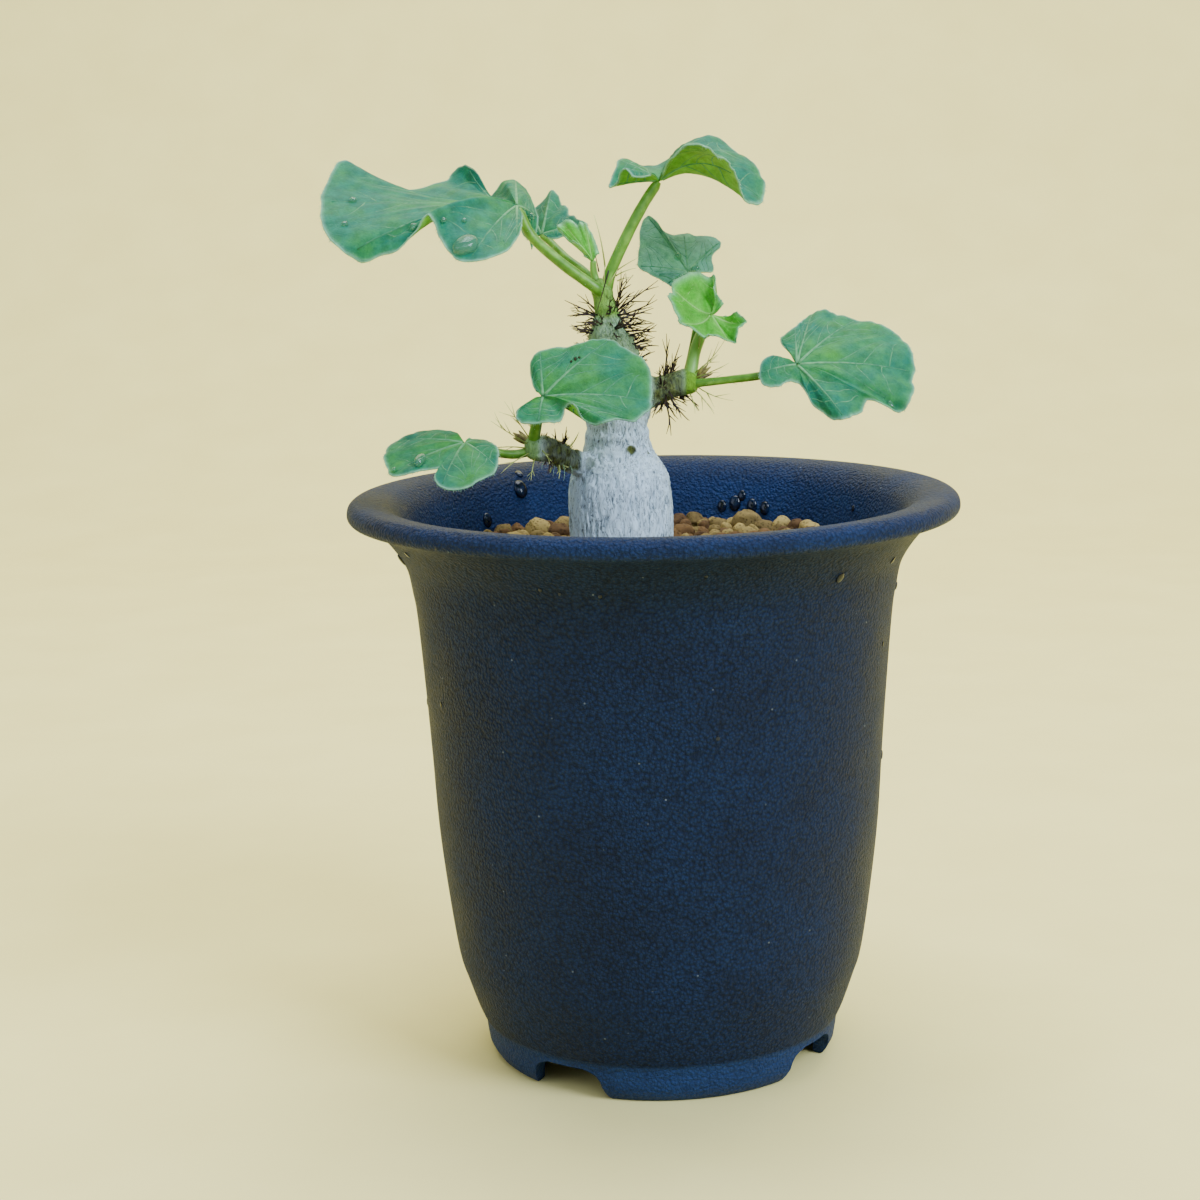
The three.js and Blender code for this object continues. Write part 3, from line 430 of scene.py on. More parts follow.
def silvery_bark(look):
    # Papery jatropha bark: a silver skin drawn into fine upright wrinkles, greenish where it is
    # young and brown on the scars of fallen leaves and side shoots. Its fibres are about 0.1 mm
    # thick, too fine to show, so they are drawn 0.3 mm thick.
    material, add = new_material("silvery_bark")
    spot = add("TexCoord")["Object"]
    wander = add("TexNoise", {"Scale": pattern(3 * MM), "Detail": 2, "Vector": spot})
    bent = add("VectorMath", {0: wander["Color"], 1: (1.4 * MM,) * 3, 2: spot},
               operation="MULTIPLY_ADD")
    drawn = add("Mapping", {"Scale": (pattern(0.3 * MM), pattern(0.3 * MM), pattern(2.4 * MM)),
                            "Vector": bent["Vector"]})
    fibres = add("TexNoise", {"Scale": 1, "Detail": 5, "Roughness": 0.62, "Distortion": 0.5,
                              "Vector": drawn["Vector"]})
    split = add("Mapping", {"Scale": (pattern(0.44 * MM), pattern(0.44 * MM), pattern(2.6 * MM)),
                            "Vector": bent["Vector"]})
    cracks = add("TexNoise", {"Scale": 1, "Detail": 4, "Vector": split["Vector"]})
    deep = add("ValToRGB", {"Fac": cracks["Fac"]},
               [(0.46, (1, 1, 1, 1)), (0.5, (0, 0, 0, 1)), (0.54, (1, 1, 1, 1))])
    cloud = add("TexNoise", {"Scale": pattern(4 * MM), "Detail": 4, "Vector": bent["Vector"]})
    light = add("Math", {0: cloud["Fac"], 1: 0.5, 2: fibres["Fac"]}, operation="MULTIPLY_ADD")
    lined = add("Math", {0: deep["Color"], 1: 0.24, 2: light[0]}, operation="MULTIPLY_ADD")
    # Painted shade: the bark darker down in the furrows of the skin's wrinkles
    furrow_shade = add("Attribute", attribute_name="furrow")
    worn_and_shaded = add("Math", {0: furrow_shade["Fac"], 1: -0.06, 2: lined[0]}, operation="MULTIPLY_ADD")
    bark = add("ValToRGB", {"Fac": worn_and_shaded[0]}, [(0.69, look.furrow), (0.95, look.bark)])
    youth = add("Attribute", attribute_name="green")
    skin = add("ValToRGB", {"Fac": light[0]}, [(0.5, linear("#426c14")), (0.95, look.green)])
    fresh = add("Mix", {0: youth["Fac"], 6: bark["Color"], 7: skin["Color"]}, data_type="RGBA")
    scar = add("Attribute", attribute_name="scar")
    cork = add("ValToRGB", {"Fac": fibres["Fac"]},
               [(0.36, linear("#2c2c17")), (0.62, linear("#717d3e"))])
    scarred = add("Mix", {0: scar["Fac"], 6: fresh[2], 7: cork["Color"]}, data_type="RGBA")
    relief = add("Bump", {"Strength": 1, "Distance": 0.3 * MM, "Height": lined[0]})
    return end_material(material, {"Roughness": 0.72, "Specular IOR Level": 0.3,
                                   "Base Color": scarred[2], "Normal": relief["Normal"]})


def living_blade(look):
    # A living jatropha blade: a waxy blue bloom over green on top, plain green below, a fine
    # net of sunken veins and a short down that gives a dull sheen. The down's hairs are under
    # 0.1 mm apart, too fine to show, so its grain is drawn 0.4 mm wide.
    material, add = new_material("living_blade")
    spot = add("TexCoord")["Object"]
    top = add("Attribute", attribute_name="top")
    green = add("Attribute", attribute_name="green")
    rim = add("Attribute", attribute_name="rim")
    youth = add("Attribute", attribute_name="youth")
    band = add("Attribute", attribute_name="pale")
    net = add("TexVoronoi", {"Scale": pattern(look.net), "Vector": spot},
              feature="DISTANCE_TO_EDGE")
    lines = add("MapRange", {"Value": net["Distance"], "From Min": 0, "From Max": 0.09,
                             "To Min": 1, "To Max": 0})
    bloom = add("TexNoise", {"Scale": pattern(4.5 * MM), "Detail": 4, "Roughness": 0.6,
                             "Vector": spot})
    down = add("TexNoise", {"Scale": pattern(0.4 * MM), "Detail": 3, "Roughness": 0.7,
                            "Vector": spot})
    thin = add("Math", {0: bloom["Fac"], 1: green["Fac"]}, operation="ADD")
    waxed = add("ValToRGB", {"Fac": thin[0]}, [(0.5, look.blue), (1, look.green)])
    fresh = add("Mix", {0: youth["Fac"], 6: waxed["Color"], 7: look.young}, data_type="RGBA")
    shade = add("Mix", {0: youth["Fac"], 6: look.vein, 7: linear("#86c95c")}, data_type="RGBA")
    netted = add("Math", {0: lines["Result"], 1: 0.12}, operation="MULTIPLY")
    veiny = add("Math", {0: band["Fac"], 1: 0.6, 2: netted[0]}, operation="MULTIPLY_ADD")
    veined = add("Mix", {0: veiny[0], 6: fresh[2], 7: shade[2]}, data_type="RGBA")
    back = add("ValToRGB", {"Fac": bloom["Fac"]}, [(0.3, look.under), (0.8, linear("#7da94a"))])
    faced = add("Mix", {0: top["Fac"], 6: back["Color"], 7: veined[2]}, data_type="RGBA")
    edged = add("Mix", {0: rim["Fac"], 6: faced[2], 7: look.rim}, data_type="RGBA")
    cloud = add("TexNoise", {"Scale": pattern(1.8 * MM), "Detail": 5, "Roughness": 0.65,
                             "Vector": spot})
    grain = add("Math", {0: down["Fac"], 1: 0.5, 2: cloud["Fac"]}, operation="MULTIPLY_ADD")
    downy = add("MapRange", {"Value": grain[0], "From Min": 0.55, "From Max": 0.95,
                             "To Min": 0.7, "To Max": 1.22})
    base = add("Mix", {0: 1, 6: edged[2], 7: downy["Result"]}, data_type="RGBA",
               blend_type="MULTIPLY")
    height = add("Math", {0: lines["Result"], 1: -0.35, 2: down["Fac"]},
                 operation="MULTIPLY_ADD")
    relief = add("Bump", {"Strength": 0.5, "Distance": 0.12 * MM, "Height": height[0]})
    return end_material(material, {"Roughness": 0.6, "Specular IOR Level": 0.13,
                                   "Sheen Weight": 0.015, "Sheen Roughness": 0.45,
                                   "Subsurface Weight": 0.25, "Subsurface Scale": 0.9 * MM,
                                   "Subsurface Radius": (0.4, 1, 0.2),
                                   "Base Color": base[2], "Normal": relief["Normal"]})


def leaf_rib(look):
    # The raised veins: smoother than the blade, palest at the joint and fading outwards
    material, add = new_material("leaf_rib")
    spot = add("TexCoord")["Object"]
    streak = add("TexNoise", {"Scale": pattern(0.8 * MM), "Detail": 3, "Vector": spot})
    way = add("Attribute", attribute_name="way")
    youth = add("Attribute", attribute_name="youth")
    faded = add("Math", {0: way["Fac"], 1: 0.5, 2: streak["Fac"]}, operation="MULTIPLY_ADD")
    base = add("ValToRGB", {"Fac": faded[0]}, [(0.35, linear("#6aa670")), (0.95, look.vein)])
    fresh = add("Mix", {0: youth["Fac"], 6: base["Color"], 7: linear("#8bcb66")},
                data_type="RGBA")
    return end_material(material, {"Roughness": 0.5, "Specular IOR Level": 0.2,
                                   "Base Color": fresh[2]})


def plant_down():
    # The pale hairs of the margins and stalks: thin glassy threads that catch the light
    material, add = new_material("plant_down")
    way = add("Attribute", attribute_name="way")
    base = add("ValToRGB", {"Fac": way["Fac"]}, [(0, linear("#6fa77c")), (1, linear("#a9cfae"))])
    return end_material(material, {"Roughness": 0.4, "Specular IOR Level": 0.5,
                                   "Base Color": base["Color"]})


def leaf_stalk(look):
    # The green stalks: smooth skin over long fibres, lighter in thin raised lines along their length
    # that are partly painted highlight
    material, add = new_material("leaf_stalk")
    spot = add("TexCoord")["Object"]
    side = add("Attribute", attribute_name="stripe")
    youth = add("Attribute", attribute_name="youth")
    cloud = add("TexNoise", {"Scale": pattern(1.6 * MM), "Detail": 4, "Vector": spot})
    # Painted highlight, in part: the stripes are lighter in colour as well as raised
    lined = add("Math", {0: side["Fac"], 1: 0.22, 2: cloud["Fac"]}, operation="MULTIPLY_ADD")
    base = add("ValToRGB", {"Fac": lined[0]}, [(0.25, linear("#3f6f18")), (0.6, look.stalk),
                                               (1, linear("#86b84c"))])
    soft = add("Math", {0: youth["Fac"], 1: 0.7}, operation="MULTIPLY")
    fresh = add("Mix", {0: soft[0], 6: base["Color"], 7: linear("#84bd58")}, data_type="RGBA")
    relief = add("Bump", {"Strength": 0.4, "Distance": 0.1 * MM, "Height": lined[0]})
    return end_material(material, {"Roughness": 0.42, "Specular IOR Level": 0.45,
                                   "Subsurface Weight": 0.15, "Subsurface Scale": 0.8 * MM,
                                   "Subsurface Radius": (0.5, 1, 0.25),
                                   "Base Color": fresh[2], "Normal": relief["Normal"]})


def dry_horn(name, foot, tip):
    # Dried stipule bristles: brown horn, nearly black at the foot and amber in the thin tips
    material, add = new_material(name)
    spot = add("TexCoord")["Object"]
    mottle = add("TexNoise", {"Scale": pattern(0.7 * MM), "Detail": 3, "Vector": spot})
    way = add("Attribute", attribute_name="way")
    mixed = add("Math", {0: mottle["Fac"], 1: 0.5, 2: way["Fac"]}, operation="MULTIPLY_ADD")
    base = add("ValToRGB", {"Fac": mixed[0]}, [(0.5, foot), (1, tip)])
    return end_material(material, {"Roughness": 0.45, "Specular IOR Level": 0.45,
                                   "Base Color": base["Color"]})


def mottled(name, width, detail, tones, relief, surface):
    """A material whose relief, and colour where it has tones, follow one noise of that width"""
    material, add = new_material(name)
    spot = add("TexCoord")["Object"]
    cloud = add("TexNoise", {"Scale": pattern(width), "Detail": detail, "Vector": spot})
    strength, distance = relief
    bump = add("Bump", {"Strength": strength, "Distance": distance, "Height": cloud["Fac"]})
    inputs = {"Normal": bump["Normal"], **surface}
    if tones:
        inputs["Base Color"] = add("ValToRGB", {"Fac": cloud["Fac"]}, tones)["Color"]
    return end_material(material, inputs)


def bud_scales():
    # Closed buds: overlapping olive scales with brown papery edges
    tones = [(0.35, linear("#4d3520")), (0.65, linear("#9c9350"))]
    return mottled("bud_scales", 0.9 * MM, 4, tones, (0.6, 0.1 * MM), {"Roughness": 0.6})


def rain_water():
    # Beads of rain water: glassy lenses that magnify what they lie on. The milky green of the share
    # that light doesn't pass through is painted light, standing in for the light a drop gathers onto
    # the leaf
    surface = {"Base Color": (0.3, 0.72, 0.5, 1), "Roughness": 0, "IOR": 1.333,
               "Specular IOR Level": 1, "Transmission Weight": 0.86, "Alpha": 0.88}
    return mottled("rain_water", 4 * MM, 1, (), (0.15, 0.2 * MM), surface)


def wet_plastic():
    # Water lying on the pot: too thin and dark to see into, so only its gloss shows
    tones = [(0.4, linear("#03070f")), (0.65, linear("#0b1d38"))]
    return mottled("wet_plastic", 1.2 * MM, 2, tones, (0.3, 0.2 * MM),
                   {"Roughness": 0.06, "Specular IOR Level": 0.3})


def pale_card(look):
    # Matt pale card: almost even, with a faint tooth and the softest change of tone
    tones = [(0.3, linear("#f6e89a")), (0.7, look.card)]
    return mottled("pale_card", 30 * MM, 6, tones, (0.05, 0.2 * MM),
                   {"Roughness": 0.9, "Specular IOR Level": 0.1})


# The pot's foot, as radius and height from its middle hole out and up
FOOT_PROFILE = [
    (5.5, 5.6), (10, 5.6), (19, 5.6), (25, 5.6), (27.1, 5.6), (26.7, 2.4), (26.35, 0.5), (26.6, 0.1),
    (27, 0), (27.4, 0), (27.8, 0.1), (28.2, 0.45), (28.7, 1.1), (29.3, 2.2), (29.6, 4), (29.8, 6),
    (30, 6.4), (30.35, 6.9),
]
# The pot's wall up to the rolled rim and down its inside
WALL_PROFILE = [
    (30.7, 7.7), (31.3, 9.2), (32.75, 13.5), (34.05, 18), (35.6, 29), (36.75, 40), (37.42, 51.7),
    (38.18, 63.3), (39.1, 75), (39.75, 79.3), (40.5, 83), (41.9, 85.7), (43.6, 88), (44.8, 89.2),
    (46, 90), (47.2, 90.55), (48.6, 90.9), (49.5, 91.2), (49.95, 91.8), (50, 92.5), (49.8, 93.3),
    (49.2, 93.95), (48.3, 94.3), (46.3, 94.25), (44, 93.8), (42.2, 92.7), (40.8, 91), (39.9, 88),
    (39.1, 84), (38.4, 79.5), (37.7, 75), (36.78, 63.3), (35.87, 51.7), (34.95, 40), (33.78, 29),
    (32.6, 18), (31.2, 13.5), (29.9, 9.2), (29, 7.4), (28.4, 7), (27, 7), (16, 7), (5.5, 7),
]
# The spans of the wall's rows that lie outside, inside over the soil and inside around it
OUTSIDE, INSIDE, AROUND_SOIL = slice(0, 20), slice(22, 31), slice(28, 39)
WALL_STEPS = 4
CAD_RIM_RADIUS = 50
CAD_POT_HEIGHT = 94.3
POT_SHARP_ANGLE = math.radians(38)
# Heights between which the painted light of the rim sets in and that of the inside ends
RIM_LIGHT = (90.5, 92)
INSIDE_LIGHT = (89, 93)
# Half of the outline of a notch in the foot ring
NOTCH_OUTLINE = [(7.9, -1), (6.9, 0.6), (6.2, 3.4), (5.7, 4.2), (4.9, 4.7), (3.3, 5.2)]
NOTCH_COUNT = 4
NOTCH_FIRST_ANGLE = math.radians(-122)
NOTCH_START, NOTCH_LENGTH = 22, 12
HOLE_RADIUS = 2.2
HOLE_COUNT = 6
HOLE_CIRCLE = 16
HOLE_SIDES = 24
HOLE_START, HOLE_LENGTH = 3, 6

# The bed of soil: where it starts, how far its top lies under the granules, its least radius,
# its gap to the pot and the radius of the small faces that close its middle
SOIL_FOOT, BED_SINK, BED_LEAST, BED_GAP, BED_MIDDLE = 7.2, 2.6, 28, 0.25, 0.4
SOIL_SEGMENTS, BED_SIDE_ROWS, BED_TOP_ROWS = 120, 20, 46
# The bed's low tone keeps it dark, as painted shade under the granules
BED_TONE = 0.1
PUMICE_SHARE, CLAY_SHARE = 0.62, 0.38
GRANULE_CUTS = 11
GRANULE_ROOM = 39
STEM_SPOT_X, STEM_ROOM = -5.2, 7.9
# Both layers of granules: how round their mesh is, how close they lie, how deep and how many
# are tried
LAYERS = [(2, 0.62, 1.75, 5200), (3, 0.84, 0.45, 9000)]

# Each row of a stem is x, y, z, radius
CAUDEX_ROWS = [
    (-5, 0, 66, 4), (-5, 0, 72, 6), (-5.1, 0, 79, 7.6), (-5.15, 0, 86, 8.25), (-5.3, 0, 92, 8.35),
    (-5.4, 0, 96, 8.1), (-5.5, 0, 98.2, 7.4), (-5.55, 0, 99.9, 6.4), (-5.6, 0, 102, 5.3),
    (-5.7, 0, 106, 4.75), (-6, 0, 110, 4.6), (-6.1, 0, 114, 4.7), (-6.2, 0, 117.6, 4.1),
    (-6.7, 0, 120.4, 3.1), (-6.8, 0, 122.6, 2.3), (-7.1, 0, 125, 1.8), (-7.7, 0, 127.4, 1.6),
    (-8, 0, 129.2, 0.6),
]
RIGHT_ROWS = [
    (-4.5, 0, 107.5, 4), (-1.8, 0, 110.4, 3.3), (1, 0, 110.9, 2.2), (4, -0.3, 111.9, 1.9),
    (6.2, -0.5, 112.5, 2.1), (7.4, -0.5, 113, 1.2),
]
LEFT_ROWS = [
    (-9, -2.5, 98.6, 2.2), (-12.3, -4.6, 100, 1.8), (-14, -6.2, 100.9, 1.65),
    (-16.2, -8.6, 102.6, 1.75), (-18.4, -10.3, 103.2, 1.95), (-19.8, -10.9, 103.8, 1.1),
]
# Each stem's rows, with its faces around and its rings, before one skin is drawn over all
STEMS = [(CAUDEX_ROWS, 40, 120), (RIGHT_ROWS, 24, 40), (LEFT_ROWS, 24, 40)]
RING_SPACING = 2.3
# Each bud is its foot, its head and its radius
BUDS = [
    ((7.2, 0.3, 112.6), (10, 1, 114.8), 0.55), ((-19.2, -9.8, 103.7), (-21.6, -9, 106.1), 0.65),
]
# Each scar is x, y, z, radius, how brown it is and how far it stands out
SCARS = [
    (-3.2, -5.5, 102.1, 0.85, 1, 0.35), (-0.3, -3, 101.3, 0.4, 1, 0.1),
    (-6.8, -2.5, 122.9, 0.9, 0.3, 0.25), (-12.6, -5.8, 101.4, 0.8, 0.9, 0.15),
    (-15, -7.6, 100.9, 0.7, 0.9, 0.1), (-5.6, -4.6, 113.4, 0.7, 0.5, 0.2),
    (-8.6, -3.9, 108.2, 0.6, 0.6, 0.15), (3, -2.1, 111.9, 0.6, 0.8, 0.1),
    (-10.4, -4.6, 99.6, 1.1, 0.6, 0.25), (-14.3, -6.2, 102.6, 0.9, 0.9, 0.3),
]
# Each bristle is its foot, the way it points and its length
MAIN_TUFTS = [
    ((-9, -0.6, 123.6), (-1, -0.1, 0.5), 5.2), ((-9.1, 0.3, 123.2), (-1, 0.3, 0), 4.4),
    ((-9, -0.8, 122.2), (-0.9, -0.5, -0.1), 4), ((-9.3, -1.2, 120.8), (-0.9, -0.4, 0.15), 3.4),
    ((-9.5, 0.8, 120.3), (-0.8, 0.7, 0.2), 4.2), ((-5, -0.6, 124.2), (0.85, -0.1, 0.6), 8),
    ((-4.9, -0.9, 123.4), (0.9, -0.3, 0.35), 7), ((-5.4, -0.5, 124.8), (0.3, -0.3, 1), 5.6),
    ((-4.6, 0.4, 122.8), (0.95, 0.2, 0.25), 5.6), ((-4.3, -0.8, 121.8), (1, -0.3, 0.05), 4.8),
    ((-3.9, -1, 120.8), (0.9, -0.4, 0.1), 5.2), ((-3.4, -0.8, 119.8), (1, -0.3, 0.2), 4.8),
    ((-2.7, -0.8, 118.6), (0.9, -0.4, 0.3), 4), ((-2.2, 0.6, 117.6), (0.9, 0.4, 0.1), 4),
    ((-1.7, -0.6, 116), (0.9, -0.3, 0.5), 3), ((-6.6, -2.1, 123.4), (0.1, -1, 0.5), 4),
    ((-7.8, -2.3, 122.2), (-0.3, -1, 0.4), 3.4), ((-5.4, -2.5, 121.4), (0.4, -0.9, 0.4), 3.6),
    ((-6.8, 2.1, 123.5), (-0.1, 1, 0.4), 6), ((-7.8, 2.4, 122), (-0.4, 1, 0.1), 5),
    ((-5.6, 2.6, 121.2), (0.3, 1, 0.3), 5.6), ((-7, 3.4, 118.8), (-0.2, 1, 0.1), 4.6),
    ((-4.6, 3.4, 118.2), (0.5, 0.9, 0.3), 4.8), ((-9.2, 2.6, 118.2), (-0.7, 0.7, 0.1), 4.2),
]
RIGHT_TUFTS = [
    ((2, 0.1, 112.8), (0.1, 0.2, 1), 7.4), ((3, -0.2, 113.2), (0.35, -0.2, 1), 5.8),
    ((1.9, -1.6, 112.1), (-0.1, -0.8, 0.8), 4.4), ((3.4, 1.6, 112.5), (0.2, 0.9, 0.7), 4.2),
    ((2.4, 0, 108.9), (0.15, -0.1, -1), 5.4), ((3.4, -0.3, 109.8), (0.6, -0.2, -0.8), 4.8),
    ((4.6, -0.4, 110.4), (0.7, 0.1, -0.6), 4.2), ((1.7, -1.2, 109.2), (-0.5, -0.5, -0.8), 3.2),
    ((2.9, -2, 110.8), (0.2, -1, -0.4), 3.6), ((3, 1.9, 110.6), (0.1, 1, -0.3), 4.6),
    ((2, 1.5, 109.6), (-0.2, 0.8, -0.7), 3.8),
]
LEFT_TUFTS = [
    ((-14.3, -6.4, 102.5), (0.2, 0.1, 1), 3.6), ((-14.9, -7.4, 102.9), (-0.2, -0.1, 1), 2.8),
    ((-14.1, -5.4, 102.2), (0.7, 0.4, 0.7), 3.4), ((-14.7, -5.6, 102.2), (0.1, 0.9, 0.6), 3.6),
    ((-16.6, -9.9, 101.4), (0, -0.8, -0.7), 3), ((-15.2, -8.4, 100.4), (0.1, -0.4, -0.9), 2.6),
    ((-18.2, -9.1, 104.2), (-0.2, 0.7, 0.7), 3.2),
]
# The bristles at the top of the main shoot: foot, head, radius and whether they are still pale
CROWN_BRISTLES = [
    ((-7, -0.5, 131.1), (-8.6, -0.5, 139.4), 0.14, True),
    ((-8, -0.5, 130.3), (-8.5, -0.5, 132.9), 0.13, False),
    ((-5.2, -0.5, 130.4), (-1.7, -0.5, 132.4), 0.12, True),
    ((-5.3, -0.5, 129.6), (-2, -0.5, 130.8), 0.12, True),
    ((-5.1, -0.5, 128.8), (-2.5, -0.5, 129.4), 0.11, True),
    ((-6.4, -2.6, 130.6), (-8.5, -3.1, 123.9), 0.14, False),
    ((-7.3, -0.6, 128), (-7, -0.6, 131.4), 0.16, True),
    ((-6.9, -0.6, 127.6), (-5, -0.6, 130.6), 0.15, True),
]
# The green stipules at the foot of the stalks: foot, way and length
TIP_STIPULES = [
    ((6.6, -0.9, 113.4), (0.75, -0.2, 0.8), 8.5), ((7, -0.9, 112.9), (0.9, -0.3, 0.4), 6.5),
    ((6.8, -1.2, 112.2), (0.95, -0.4, -0.4), 7.5), ((6.2, -1.3, 111.9), (0.7, -0.4, -0.8), 6.5),
    ((6.4, -0.2, 113.8), (0.35, 0.2, 1), 6), ((7.3, -0.4, 112.6), (1, 0.2, -0.15), 7),
    ((5.6, -1.4, 111.7), (0.35, -0.5, -1), 5), ((6.9, 0.2, 113.2), (0.8, 0.5, 0.6), 6),
    ((-19, -10.9, 104.2), (-0.55, -0.2, 0.9), 8), ((-19.4, -11.2, 103.8), (-0.85, -0.3, 0.6), 7.5),
    ((-19.6, -11.2, 103.2), (-1, -0.3, 0.05), 6.5), ((-19.2, -11.4, 102.6), (-0.8, -0.4, -0.5), 6),
    ((-18.6, -11, 104.4), (-0.2, -0.2, 1), 6), ((-18.4, -11.4, 102.4), (-0.2, -0.4, -1), 4.5),
    ((-17.8, -11.3, 103.2), (0.4, -0.7, -0.5), 4),
]
# Pale threads that hang from the left shoot
THREADS = [
    ((-15.2, -8.2, 101.4), (-15.9, -9, 98.4)), ((-14.6, -7.9, 101), (-14.2, -8.8, 97.6)),
    ((-16.4, -9.4, 101.6), (-17.6, -9.8, 99.6)), ((-13.6, -7, 100.4), (-12.9, -8, 98)),
]
# The four finishes of the bristles' piece
DARK, PALE, DOWN, SCALES = range(4)
# Twigs beside the main one of a tuft, and how deep all stand in the skin
TUFT_TWIGS, TUFT_SINK = 4, 0.9
THREAD_RADIUS = 0.08
BUD_LAYERS = 6

